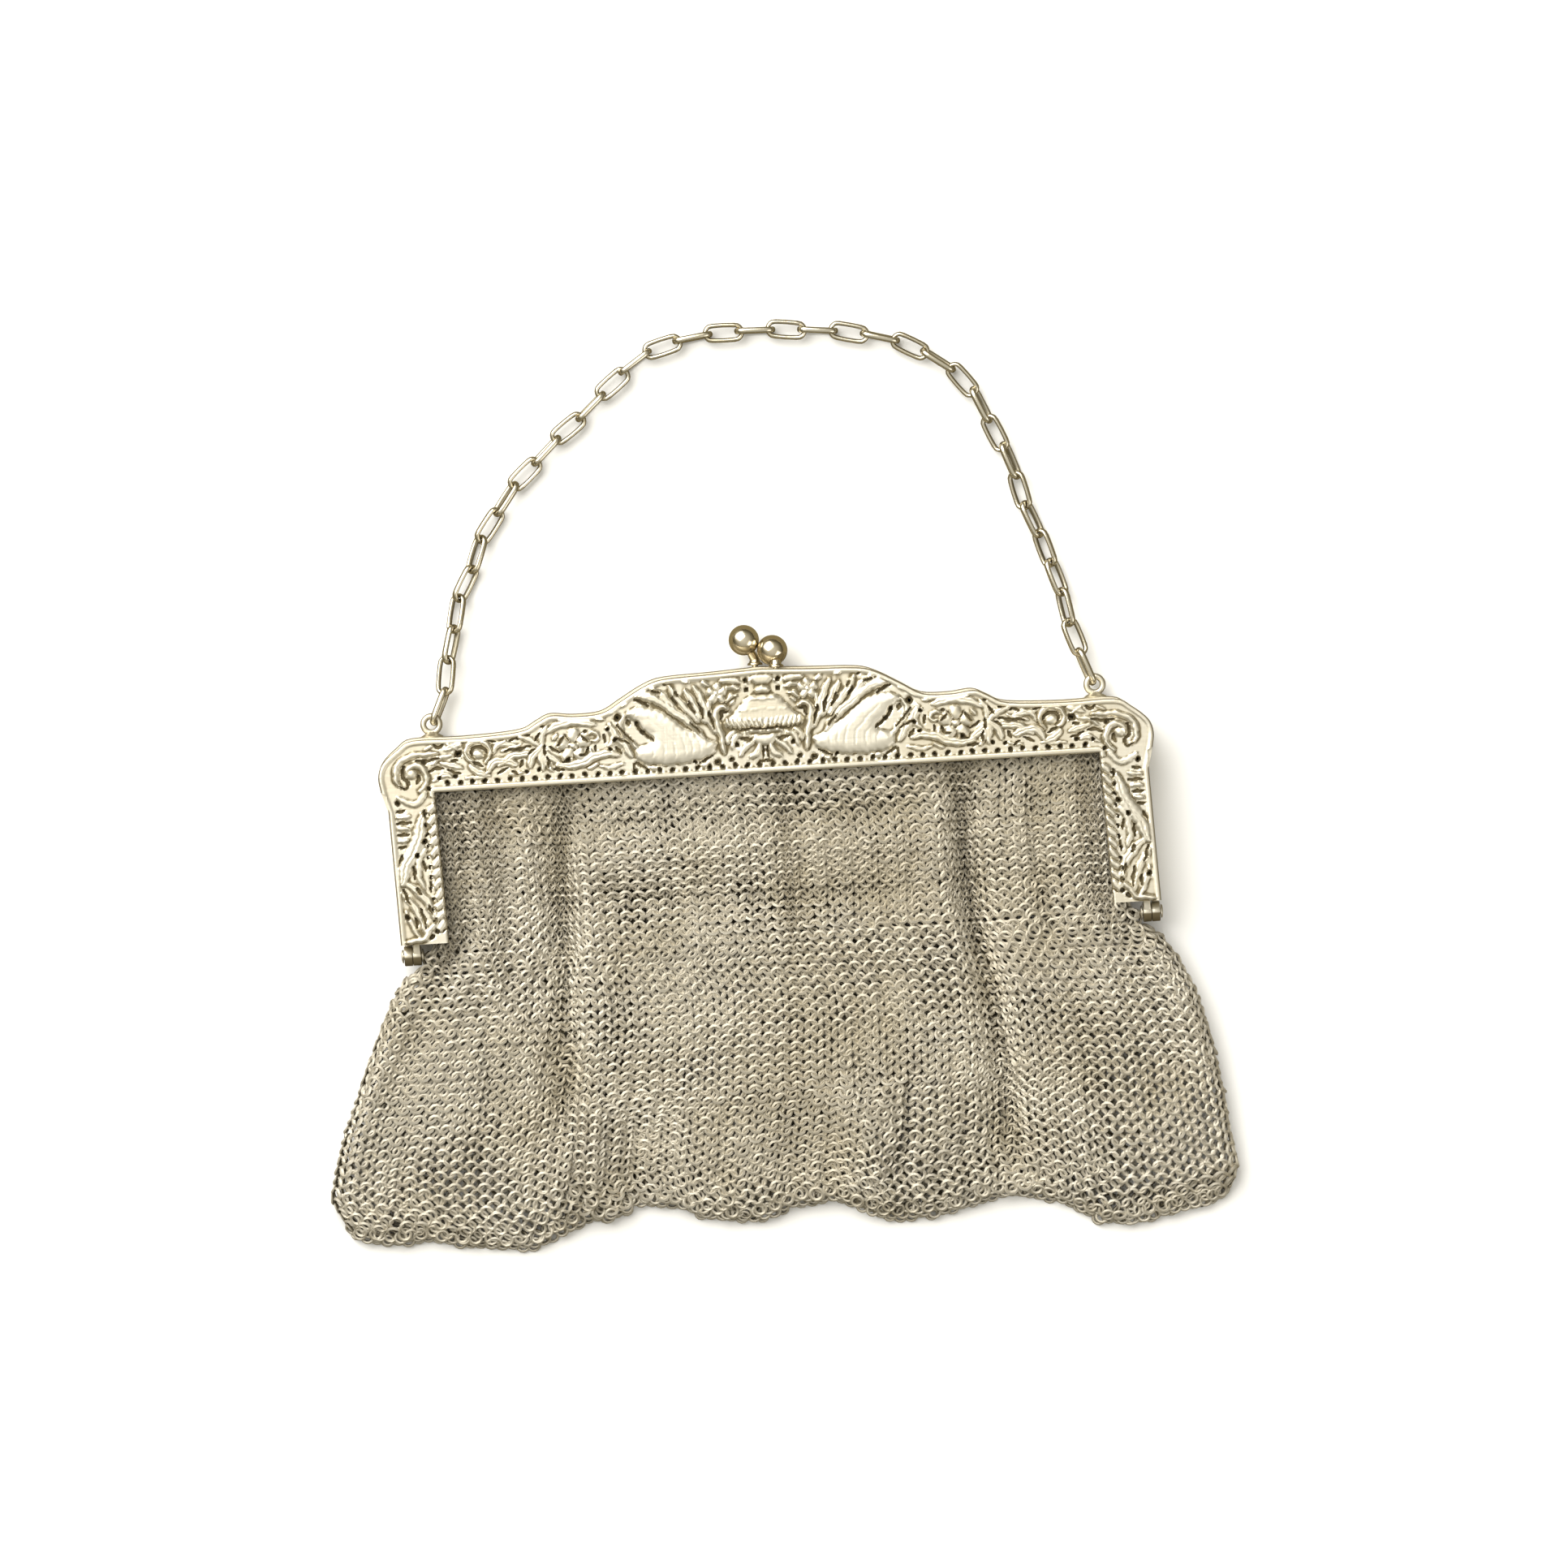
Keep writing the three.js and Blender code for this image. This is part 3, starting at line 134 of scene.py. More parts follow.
# Raised ribbons and leaves of the right-hand side: points, half width, height, vein depth.
RIDGES: tuple[tuple[Line, float, float, float], ...] = (
    # swan: neck with its bent head, then the raised feathers from the urn outwards
    (((8.2, 4.2), (8.3, 6.5), (8.8, 9.0), (9.4, 11.4), (8.9, 12.9), (7.7, 13.4), (6.6, 12.9)), 0.75, 0.8, 0),
    (((9.3, 8.3), (11.0, 11.3), (11.8, 14.6), (13.2, 17.7)), 0.8, 0.6, 0.15),
    (((11.3, 10.5), (13.1, 13.3), (15.0, 16.9)), 0.8, 0.65, 0.15),
    (((12.8, 10.9), (15.3, 13.7), (16.7, 15.4), (18.2, 17.9)), 0.8, 0.7, 0.15),
    (((11.9, 7.6), (14.6, 10.7), (17.4, 13.0), (21.0, 15.5), (24.8, 16.6)), 0.9, 0.75, 0.15),
    (((17.6, 14.0), (19.4, 16.2), (21.9, 18.1)), 0.7, 0.5, 0.12),
    (((20.6, 15.9), (23.2, 17.0), (25.2, 17.2)), 0.6, 0.5, 0),
    (((27.0, 12.9), (28.2, 10.8), (26.8, 8.4), (24.9, 6.4)), 0.6, 0.45, 0),
    (((30.2, 11.4), (29.3, 9.2), (27.4, 6.9), (26.2, 4.6)), 0.8, 0.5, 0.15),
    (((30.9, 13.2), (29.0, 14.4), (26.6, 15.4)), 0.7, 0.4, 0.1),
    # tendrils between the urn, the feathers and the crest
    (((4.3, 18.0), (6.0, 18.5), (8.0, 18.3)), 0.6, 0.5, 0.1),
    (((4.4, 16.7), (5.6, 17.2), (6.9, 17.0)), 0.5, 0.5, 0.1),
    (((5.0, 15.4), (6.2, 15.3), (7.2, 14.4)), 0.42, 0.5, 0), (((5.4, 14.2), (6.3, 13.9)), 0.4, 0.4, 0),
    (((10.4, 15.0), (10.7, 13.6), (10.2, 12.4)), 0.45, 0.5, 0), (((10.4, 17.6), (11.6, 18.3)), 0.5, 0.45, 0),
    (((1.9, 18.6), (2.9, 17.6)), 0.35, 0.35, 0), (((14.4, 18.4), (15.6, 18.8)), 0.4, 0.4, 0),
    (((28.0, 3.5), (30.2, 2.9), (32.4, 3.2)), 0.5, 0.45, 0.1), (((32.6, 3.7), (34.8, 2.9)), 0.42, 0.4, 0),
    (((31.4, 12.3), (33.6, 13.0), (36.0, 13.2)), 0.5, 0.45, 0), (((37.4, 12.9), (40.2, 12.8)), 0.42, 0.4, 0),
    (((47.8, 2.8), (50.4, 2.7)), 0.42, 0.4, 0), (((53.8, 2.6), (56.6, 2.5), (59.0, 2.4)), 0.45, 0.4, 0.1),
    (((34.2, 6.6), (33.9, 5.9)), 0.35, 0.35, 0), (((40.6, 9.9), (41.6, 9.0)), 0.5, 0.45, 0),
    (((50.6, 9.2), (52.6, 8.4), (53.2, 6.8)), 0.45, 0.4, 0),
    (((47.6, 8.4), (49.6, 7.6), (51.6, 7.4)), 0.5, 0.45, 0.1),
    (((59.4, 6.6), (60.6, 8.2), (62.0, 9.2)), 0.4, 0.4, 0), (((65.0, 9.0), (66.6, 8.6)), 0.4, 0.35, 0),
    (((20.6, 2.1), (23.0, 2.3)), 0.35, 0.3, 0), (((11.2, 2.5), (12.8, 2.2)), 0.35, 0.3, 0),
    # flower and the leaves round it
    (((28.7, 5.2), (31.2, 5.6), (33.4, 5.2), (36.8, 3.8), (40.8, 3.9)), 0.95, 0.55, 0.15),
    (((33.2, 11.3), (36.3, 12.2), (39.6, 11.9), (42.6, 10.6)), 0.9, 0.4, 0.12),
    (((43.6, 7.4), (42.1, 5.5), (40.3, 4.4)), 0.75, 0.5, 0.12),
    (((43.7, 7.4), (43.1, 5.0), (41.9, 3.0)), 0.6, 0.5, 0.1),
    (((43.9, 7.4), (44.0, 5.2), (43.5, 3.0)), 0.6, 0.5, 0.1),
    (((43.9, 7.7), (45.6, 5.8), (46.3, 3.9)), 0.85, 0.55, 0.12),
    (((43.6, 8.0), (43.5, 10.0), (42.6, 11.6)), 0.7, 0.5, 0.1),
    (((44.2, 8.0), (46.0, 9.3), (47.9, 9.8)), 0.7, 0.5, 0.1),
    (((34.6, 9.6), (33.7, 10.0), (32.8, 9.6), (32.6, 8.7), (33.3, 8.2), (34.0, 8.6)), 0.4, 0.45, 0),
    (((31.0, 10.9), (29.9, 9.6), (29.8, 8.0), (30.7, 6.8)), 0.5, 0.4, 0),
    # long leaves and C-scroll
    (((45.4, 6.6), (47.7, 6.5), (50.1, 6.0), (52.3, 4.4)), 0.75, 0.55, 0.12),
    (((48.6, 4.4), (51.2, 5.4), (53.6, 5.0), (54.6, 3.2)), 0.85, 0.55, 0.15),
    (((48.6, 8.4), (51.0, 8.6), (53.0, 9.0)), 0.55, 0.4, 0.1),
    (((57.9, 5.0), (56.6, 3.6), (54.9, 2.8)), 0.75, 0.5, 0.12),
    (
        ((54.9, 5.2), (53.9, 6.9), (54.2, 8.6), (55.7, 9.7), (57.4, 9.4), (58.5, 8.1), (58.3, 6.4), (57.1, 5.4)),
        0.55, 0.6, 0,
    ),
    (((59.4, 9.5), (61.2, 8.7), (62.6, 8.2)), 0.6, 0.4, 0.1),
    (((59.5, 4.4), (61.4, 5.2), (63.4, 5.6)), 0.65, 0.5, 0.1),
    (((61.5, 2.9), (63.4, 3.3), (65.2, 2.2)), 0.6, 0.4, 0.1),
    (((61.2, 7.0), (63.2, 6.9), (65.2, 5.6)), 0.5, 0.35, 0),
    # shoulder: hooked corner scroll
    (((64.2, 7.6), (67.2, 7.6), (70.0, 7.2), (72.1, 5.6), (72.6, 3.2), (71.6, 1.2)), 0.7, 0.55, 0),
    (((68.0, 0.2), (66.7, 2.0), (66.9, 4.4), (68.6, 5.6), (70.2, 4.8), (70.3, 3.2)), 0.65, 0.6, 0),
    (((66.9, 0.4), (68.4, -1.6), (70.2, -1.9), (72.4, -0.6)), 0.7, 0.4, 0.1),
    # leg: long curling leaf, the spray under it and its foot
    (((67.9, -4.4), (68.6, -7.2), (69.6, -10.2), (71.4, -12.9), (72.5, -15.4), (73.0, -17.6)), 1.5, 0.65, 0.18),
    (((68.0, -10.8), (69.3, -13.2), (69.7, -16.0), (68.9, -18.6)), 0.7, 0.5, 0.1),
    (((66.9, -26.4), (67.6, -23.4), (68.9, -20.6), (71.0, -18.4), (72.6, -17.0)), 0.85, 0.55, 0.15),
    (((69.2, -27.6), (70.0, -24.6), (71.4, -21.8), (73.3, -19.4)), 0.75, 0.5, 0.12),
    (((70.6, -28.2), (71.8, -25.8), (73.0, -22.6)), 0.6, 0.5, 0.12),
    (((66.9, -25.2), (68.6, -26.9), (70.0, -28.5), (73.4, -28.9)), 0.6, 0.55, 0),
    (((70.2, -4.2), (72.8, -4.6)), 0.5, 0.4, 0),
    (((70.6, -6.8), (73.0, -6.7)), 0.5, 0.4, 0),
    (((71.2, -9.0), (73.1, -9.1)), 0.45, 0.4, 0),
)

# Dark strokes cut between the raised work: points, half width.
GROOVES: tuple[tuple[Line, float], ...] = (
    (((7.2, 12.2), (8.0, 12.2), (8.5, 11.0)), 0.28), (((0.4, 5.0), (0.6, 2.9)), 0.2),
    (((-0.6, 2.5), (1.6, 2.4)), 0.22), (((2.7, 6.7), (4.6, 7.0)), 0.4),
    (((10.7, 12.8), (9.8, 9.2)), 0.28), (((12.5, 14.2), (11.8, 11.3)), 0.3), (((14.5, 14.9), (13.5, 12.5)), 0.32),
    (((17.1, 16.8), (16.4, 15.9)), 0.28), (((17.6, 15.7), (16.8, 14.2)), 0.25), (((14.3, 10.5), (12.6, 8.7)), 0.27),
    (((19.4, 18.6), (18.7, 18.2)), 0.25), (((20.0, 16.9), (21.4, 17.2)), 0.25),
    (((25.0, 15.7), (22.2, 14.5)), 0.28),
    (((23.4, 17.5), (24.3, 17.1)), 0.28), (((26.7, 11.8), (26.5, 10.9)), 0.42),
    (((25.2, 11.4), (23.7, 9.3), (21.7, 7.8)), 0.33), (((28.8, 11.0), (25.7, 7.6)), 0.22),
    (((29.4, 8.6), (26.6, 7.3)), 0.2), (((29.3, 6.8), (28.0, 5.5)), 0.27), (((10.4, 4.0), (13.0, 2.8)), 0.2),
    (((23.3, 2.2), (25.4, 3.3), (25.9, 2.3)), 0.28), (((39.5, 9.3), (40.4, 7.8)), 0.36),
    (((40.3, 6.5), (42.1, 7.5)), 0.26), (((38.2, 5.1), (39.5, 4.5)), 0.32),
    (((34.7, 7.1), (34.9, 5.9), (36.2, 5.7)), 0.28), (((35.6, 9.2), (34.8, 8.2)), 0.32),
    (((34.6, 10.4), (35.5, 10.2)), 0.25), (((31.6, 9.4), (31.2, 7.8)), 0.28), (((33.1, 7.5), (33.1, 6.2)), 0.22),
    (((43.3, 7.9), (43.0, 6.2)), 0.26), (((42.7, 5.6), (42.4, 3.6)), 0.25), (((39.7, 2.9), (41.4, 3.2)), 0.3),
    (((44.0, 10.3), (44.8, 9.1)), 0.28), (((45.2, 7.3), (46.4, 6.4)), 0.26), (((47.4, 5.4), (48.0, 4.0)), 0.28),
    (((46.0, 10.3), (47.8, 10.2)), 0.3), (((48.3, 9.5), (49.0, 9.9), (49.9, 9.3)), 0.32),
    (((45.9, 7.9), (48.3, 7.6), (50.9, 7.3)), 0.28), (((50.4, 4.0), (52.4, 3.0)), 0.24),
    (((31.4, 14.0), (32.5, 13.2), (33.5, 13.1)), 0.3), (((41.5, 12.9), (42.5, 12.8)), 0.25),
    (((43.1, 11.8), (44.2, 11.9)), 0.25), (((54.6, 7.3), (55.2, 8.3), (56.5, 8.5), (57.4, 7.7), (57.3, 6.7)), 0.3),
    (((57.2, 5.5), (55.3, 4.5)), 0.26), (((52.6, 9.4), (54.4, 9.7)), 0.26), (((58.4, 9.4), (59.4, 9.7)), 0.3),
    (((62.9, 9.4), (63.8, 8.8), (64.8, 9.4)), 0.32), (((64.0, 6.6), (66.4, 6.4), (68.4, 6.3)), 0.26),
    (((60.3, 5.9), (61.3, 6.1)), 0.26), (((59.7, 3.5), (61.0, 3.8), (62.5, 4.4)), 0.24),
    (((63.2, 4.5), (64.7, 4.8), (65.9, 4.1)), 0.3), (((49.6, 3.4), (48.6, 2.6)), 0.22),
    (((67.9, 3.6), (68.5, 2.0)), 0.33), (((70.9, 5.4), (71.3, 3.8), (70.2, 2.2), (70.9, 1.1), (71.9, 1.5)), 0.28),
    (((71.4, -3.1), (73.0, -3.4)), 0.3), (((70.3, -5.5), (73.0, -5.7)), 0.34),
    (((66.4, -3.3), (67.6, -3.6), (67.3, -5.0)), 0.26),
    (((70.9, -8.0), (73.0, -7.8)), 0.27), (((71.7, -10.2), (73.0, -10.4)), 0.27),
    (((72.5, -12.0), (73.4, -13.4)), 0.27),
    (((70.6, -14.3), (70.5, -16.8)), 0.28), (((68.6, -13.4), (68.3, -15.2)), 0.25),
    (((70.4, -18.5), (69.5, -19.7)), 0.3),
    (((67.6, -17.3), (67.5, -19.4)), 0.24), (((73.0, -18.7), (71.9, -21.7)), 0.26),
    (((68.2, -22.0), (67.9, -23.6)), 0.26),
    (((69.9, -22.4), (69.2, -26.4)), 0.28), (((71.0, -24.2), (71.1, -26.2)), 0.26),
)

# Faint engraved lines over the swan's body and wing: points.
FINE_LINES: tuple[Line, ...] = (
    ((14.4, 3.8), (14.3, 7.1), (16.3, 10.3), (20.1, 13.2)), ((15.9, 2.9), (15.7, 6.4), (17.5, 9.7), (21.3, 12.8)),
    ((18.0, 2.8), (17.6, 6.3), (19.3, 8.9), (22.7, 12.0)), ((20.2, 3.0), (19.6, 5.6), (20.6, 7.6), (22.3, 9.6)),
    ((22.4, 3.4), (21.8, 5.2), (22.4, 6.6)), ((12.6, 4.0), (12.9, 7.0), (14.6, 9.6)),
    ((21.6, 13.6), (24.4, 13.3), (25.6, 12.2)), ((19.6, 12.0), (23.0, 13.4)),
)

# Holes through the plate: centre and radius.
HOLES: tuple[tuple[float, float, float], ...] = (
    (5.6, 5.8, 0.37), (6.6, 3.0, 0.4), (3.1, 18.2, 0.45), (3.2, 16.4, 0.42), (9.4, 2.6, 0.62), (28.6, 12.6, 0.66),
    (24.9, 11.1, 0.46), (23.7, 9.4, 0.43), (44.4, 3.2, 0.36), (46.9, 3.0, 0.36), (29.2, 8.3, 0.34), (30.4, 6.4, 0.34),
    (30.6, 10.4, 0.3), (38.6, 4.9, 0.42), (60.1, 7.3, 0.62), (60.8, 3.0, 0.4), (64.0, 2.8, 0.34), (66.1, 0.9, 0.34),
    (72.5, -1.6, 0.42), (67.0, 5.9, 0.42), (69.7, -12.2, 0.4), (67.9, -9.4, 0.42), (72.6, -24.0, 0.5),
    (68.3, -28.2, 0.46), (13.9, 2.9, 0.3),
)

# Place across of the one square hole.
SQUARE_HOLE = 60.1

# Outlines of the broad raised shapes, with their height and the width of their rounded edge.
SWAN_BODY: Line = (
    (9.2, 6.4), (10.2, 4.2), (13.2, 3.1), (18.0, 2.6), (22.4, 2.9), (25.2, 4.2), (25.2, 6.2), (22.2, 7.5),
    (23.9, 9.6), (25.8, 11.9), (27.0, 13.0), (25.5, 14.3), (21.7, 14.0), (18.5, 12.3), (15.7, 10.1), (12.2, 7.8),
)
URN_PARTS: tuple[tuple[Line, float, float], ...] = (
    (
        (
            (0, 15.5), (2.4, 15.3), (3.7, 14.6), (4.2, 13.6), (5.3, 12.7), (6.5, 11.6), (7.5, 10.8), (7.9, 10.1),
            (7.4, 9.2), (4.0, 9.1), (0, 9.5),
        ),
        0.6, 1.5,
    ),
    (((0, 15.2), (2.1, 15.0), (3.2, 14.4), (3.5, 13.8), (0, 13.9)), 0.78, 0.9),
    (((0, 12.9), (4.9, 12.6), (5.5, 12.0), (0, 12.2)), 0.7, 0.4),
    (((0, 8.7), (3.7, 8.6), (3.6, 7.8), (0, 7.9)), 0.5, 0.5),
    (((0, 7.7), (2.6, 7.5), (2.2, 6.3), (1.2, 5.5), (0, 5.3)), 0.55, 1.1),
    (((0, 17.2), (1.4, 16.9), (1.7, 16.2), (1.3, 15.7), (0, 15.6)), 0.65, 0.6),
    (((0, 19.3), (2.3, 19.1), (2.0, 18.3), (0.9, 17.3), (0, 17.2)), 0.45, 0.6),
)


class Side(Enum):
    """Which half of the frame or face of the bag is meant."""

    FRONT = "front"
    BACK = "back"


@dataclass(frozen=True)
class Purse:
    """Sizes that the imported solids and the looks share, in millimetres."""

    half_width: float = 76.0
    crest: float = 20.4
    shoulder_fall: float = 3.6
    leg_outer: float = 74.5
    leg_length: float = 29.5
    leg_width: float = 9.4
    lean: float = 1.0
    plate: float = 1.0
    wall: float = 0.9
    half_depth: float = 5.8
    back_set: tuple[float, float] = (0.5, 0.6)
    clearance: float = 0.3
    hinge_y: float = -31.75
    knuckle_radius: float = 1.95
    knuckle_width: float = 1.4
    pin_head: float = 0.4

    @property
    def depth(self) -> float:
        """Depth of the closed frame."""
        return 2 * self.half_depth + self.clearance

    @property
    def opening(self) -> float:
        """Distance from the middle to the inner edge of a leg."""
        return self.leg_outer - self.leg_width

    def lean_at(self, y: np.ndarray | float) -> np.ndarray | float:
        """Sideways shift of the bent frame at a height."""
        return self.lean * np.maximum(0, -np.asarray(y, float)) / self.leg_length

    def origin(self) -> Vector:
        """Place of the plan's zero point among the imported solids, in millimetres."""
        corners = [*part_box("hinge_pin_left"), *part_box("hinge_pin_right")]
        middle = sum(corners, Vector()) / len(corners) / MM
        return Vector((middle.x - float(self.lean_at(self.hinge_y)), middle.y - self.hinge_y, 0))

    def placing(self) -> Matrix:
        """Matrix from the plan in millimetres to the solids in metres."""
        return Matrix.Scale(MM, 4) @ Matrix.Translation(self.origin())

    def plan_points(self, node: str) -> np.ndarray:
        """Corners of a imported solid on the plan, in millimetres.

        Args:
            node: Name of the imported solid.

        Returns:
            One row for each corner.
        """
        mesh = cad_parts[node].data
        corners = np.zeros(len(mesh.vertices) * 3)
        mesh.vertices.foreach_get("co", corners)
        return corners.reshape(-1, 3) / MM - np.array(self.origin())


SIZES = Purse()


# Lines, grids and meshes


def table(rows: tuple, at: np.ndarray, column: int = 1) -> np.ndarray:
    """Value of a table's column at places between its rows."""
    values = np.array(rows, float)
    return np.interp(at, values[:, 0], values[:, column])


def smoothstep(value: np.ndarray, low: float, high: float) -> np.ndarray:
    """Soft step from 0 at low to 1 at high."""
    share = np.clip((value - low) / (high - low), 0, 1)
    return share * share * (3 - 2 * share)


def smooth_line(points: Line, steps: int = 6) -> np.ndarray:
    """Rounds a line of points.

    Args:
        points: The points that the curve runs through.
        steps: Number of steps between two points.

    Returns:
        The points of the curve.
    """
    rough = np.array(points, float)
    ends = np.vstack([2 * rough[0] - rough[1], rough, 2 * rough[-1] - rough[-2]])
    t = np.linspace(0, 1, steps, endpoint=False)[:, None]
    spans = [
        0.5 * (2 * b + (c - a) * t + (2 * a - 5 * b + 4 * c - d) * t**2 + (3 * b - a - 3 * c + d) * t**3)
        for a, b, c, d in zip(ends, ends[1:], ends[2:], ends[3:])
    ]
    return np.vstack([*spans, rough[-1:]])


def resample(line: np.ndarray, count: int) -> np.ndarray:
    """Puts evenly spaced points along a line."""
    steps = np.linalg.norm(np.diff(line, axis=0), axis=1)
    along = np.concatenate([[0], np.cumsum(steps)])
    at = np.linspace(0, along[-1], count)
    return np.stack([np.interp(at, along, line[:, axis]) for axis in range(line.shape[1])], axis=1)


def line_distance(x: np.ndarray, y: np.ndarray, line: np.ndarray) -> tuple[np.ndarray, np.ndarray]:
    """Distance of points from a line.

    Args:
        x: Places across.
        y: Places up.
        line: Points of the line.

    Returns:
        The distances, and the share of the line's length at the nearest place.
    """
    best = np.full(x.shape, np.inf)
    share = np.zeros(x.shape)
    lengths = np.linalg.norm(np.diff(line, axis=0), axis=1)
    total = lengths.sum()
    start = 0.0
    for (ax, ay), (bx, by), length in zip(line, line[1:], lengths):
        t = np.clip(((x - ax) * (bx - ax) + (y - ay) * (by - ay)) / length**2, 0, 1)
        distance = np.hypot(x - ax - t * (bx - ax), y - ay - t * (by - ay))
        closer = distance < best
        best = np.where(closer, distance, best)
        share = np.where(closer, (start + t * length) / total, share)
        start += length
    return best, share


def inside(x: np.ndarray, y: np.ndarray, outline: np.ndarray) -> np.ndarray:
    """Tells which points lie inside a closed outline."""
    result = np.zeros(x.shape, bool)
    for (ax, ay), (bx, by) in zip(outline, np.roll(outline, -1, axis=0)):
        if ay == by:
            continue
        crosses = (ay > y) != (by > y)
        result ^= crosses & (x < ax + (y - ay) * (bx - ax) / (by - ay))
    return result


def blur(values: np.ndarray, reach: int) -> np.ndarray:
    """Averages a grid of values over a square of cells."""
    result = values
    width = 2 * reach + 1
    for axis in (0, 1):
        pad = [(reach, reach) if index == axis else (0, 0) for index in (0, 1)]
        sums = np.cumsum(np.pad(result, pad, mode="edge"), axis=axis)
        sums = np.concatenate([np.zeros_like(np.take(sums, [0], axis)), sums], axis)
        high = np.take(sums, range(width, sums.shape[axis]), axis)
        low = np.take(sums, range(sums.shape[axis] - width), axis)
        result = (high - low) / width
    return result


def without_corners(cells: np.ndarray) -> np.ndarray:
    """Opens a third cell wherever two open cells touch at one corner only."""
    result = cells.copy()
    for _ in range(3):
        for turned in (result, result[:, ::-1]):
            touching = turned[:-1, :-1] & turned[1:, 1:] & ~turned[:-1, 1:] & ~turned[1:, :-1]
            turned[:-1, 1:] |= touching
    return result


def outer_edge(side: Side) -> np.ndarray:
    """Upper edge of one half of the frame.

    Args:
        side: The half of the frame.

    Returns:
        Points from the left leg's end over the crest to the right leg's end.
    """
    scale = np.array([SIZES.half_width, SIZES.crest])
    curve = smooth_line(tuple(map(tuple, np.array(CREST_LINE) * scale)), 4)
    legs = [[SIZES.leg_outer, -SIZES.shoulder_fall], [SIZES.leg_outer, -SIZES.leg_length]]
    right = np.vstack([curve, legs])
    left = (right * [-1, 1])[:0:-1]
    edge = np.vstack([left, right])
    if side is Side.BACK:
        share = np.clip(edge[:, 1:] / (SIZES.crest / 2), 0, 1)
        edge = edge + share * [-SIZES.back_set[0], SIZES.back_set[1]]
    return edge


def inset(edge: np.ndarray, distance: float) -> np.ndarray:
    """Moves an edge inwards by a distance."""
    along = np.gradient(edge, axis=0)
    along /= np.linalg.norm(along, axis=1)[:, None]
    return edge + distance * np.stack([along[:, 1], -along[:, 0]], axis=1)


def leaning(points: np.ndarray) -> np.ndarray:
    """Leans points with the legs of the frame."""
    result = points.copy()
    result[..., 0] += SIZES.lean_at(points[..., 1])
    return result


def select_none() -> None:
    """Leaves nothing selected."""
    if bpy.context.object and bpy.context.object.mode != "OBJECT":
        bpy.ops.object.mode_set(mode="OBJECT")
    bpy.ops.object.select_all(action="DESELECT")


def activate(obj: bpy.types.Object) -> None:
    """Makes an object the only one selected."""
    select_none()
    obj.select_set(True)
    bpy.context.view_layer.objects.active = obj


def new_mesh(name: str, points: np.ndarray, faces: list | np.ndarray) -> bpy.types.Object:
    """Makes an object from points and faces.

    Args:
        name: Name of the object.
        points: One row for each corner, in millimetres.
        faces: Corner numbers of each face.

    Returns:
        The object, selected alone.
    """
    mesh = bpy.data.meshes.new(name)
    mesh.from_pydata(points.tolist(), [], faces if isinstance(faces, list) else faces.tolist())
    obj = bpy.data.objects.new(name, mesh)
    bpy.context.scene.collection.objects.link(obj)
    activate(obj)
    return obj


def join(name: str, parts: list[bpy.types.Object]) -> bpy.types.Object:
    """Joins parts to one object."""
    activate(parts[0])
    for part in parts:
        part.select_set(True)
    bpy.ops.object.join()
    parts[0].name = name
    parts[0].data.name = name
    return parts[0]


def bake_place(obj: bpy.types.Object) -> None:
    """Moves an object's place into its mesh."""
    activate(obj)
    bpy.ops.object.transform_apply(location=True, rotation=True, scale=True)


def apply_modifier(obj: bpy.types.Object, kind: str, **settings: object) -> None:
    """Adds a modifier with its settings and applies it."""
    activate(obj)
    modifier = obj.modifiers.new(kind.title(), kind)
    for name, value in settings.items():
        setattr(modifier, name, value)
    bpy.ops.object.modifier_apply(modifier=modifier.name)


def outward(obj: bpy.types.Object) -> None:
    """Merges doubles and turns all faces outwards."""
    activate(obj)
    bpy.ops.object.mode_set(mode="EDIT")
    bpy.ops.mesh.select_all(action="SELECT")
    bpy.ops.mesh.remove_doubles(threshold=0.004)
    bpy.ops.mesh.normals_make_consistent(inside=False)
    bpy.ops.object.mode_set(mode="OBJECT")


def set_recess_and_shade(obj: bpy.types.Object, values: np.ndarray | float) -> None:
    """Stores how deep each corner lies in the relief, from -1 on a crest to 1 in a pit, which darkens it as patina;
    some pieces store painted shade here too.
    """
    mesh = obj.data
    layer = mesh.attributes.get("recess_and_shade") or mesh.attributes.new("recess_and_shade", "FLOAT", "POINT")
    layer.data.foreach_set("value", np.broadcast_to(np.asarray(values, np.float32), len(mesh.vertices)).copy())


def spun(name: str, profile: list[tuple[float, float]], sides: int) -> bpy.types.Object:
    """Turns a profile round the Y axis.

    Args:
        name: Name of the piece.
        profile: Radius and height of each corner, from the foot to the top.
        sides: Number of sides round the axis.

    Returns:
        The closed turned piece.
    """
    points = np.array([[radius, height, 0.0] for radius, height in profile])
    obj = new_mesh(name, points, [])
    obj.data.edges.add(len(profile) - 1)
    obj.data.edges.foreach_set("vertices", [v for i in range(len(profile) - 1) for v in (i, i + 1)])
    bpy.ops.object.mode_set(mode="EDIT")
    bpy.ops.mesh.select_all(action="SELECT")
    bpy.ops.mesh.spin(steps=sides, angle=2 * math.pi, center=(0, 0, 0), axis=(0, 1, 0))
    bpy.ops.object.mode_set(mode="OBJECT")
    outward(obj)
    return obj


# Finishes


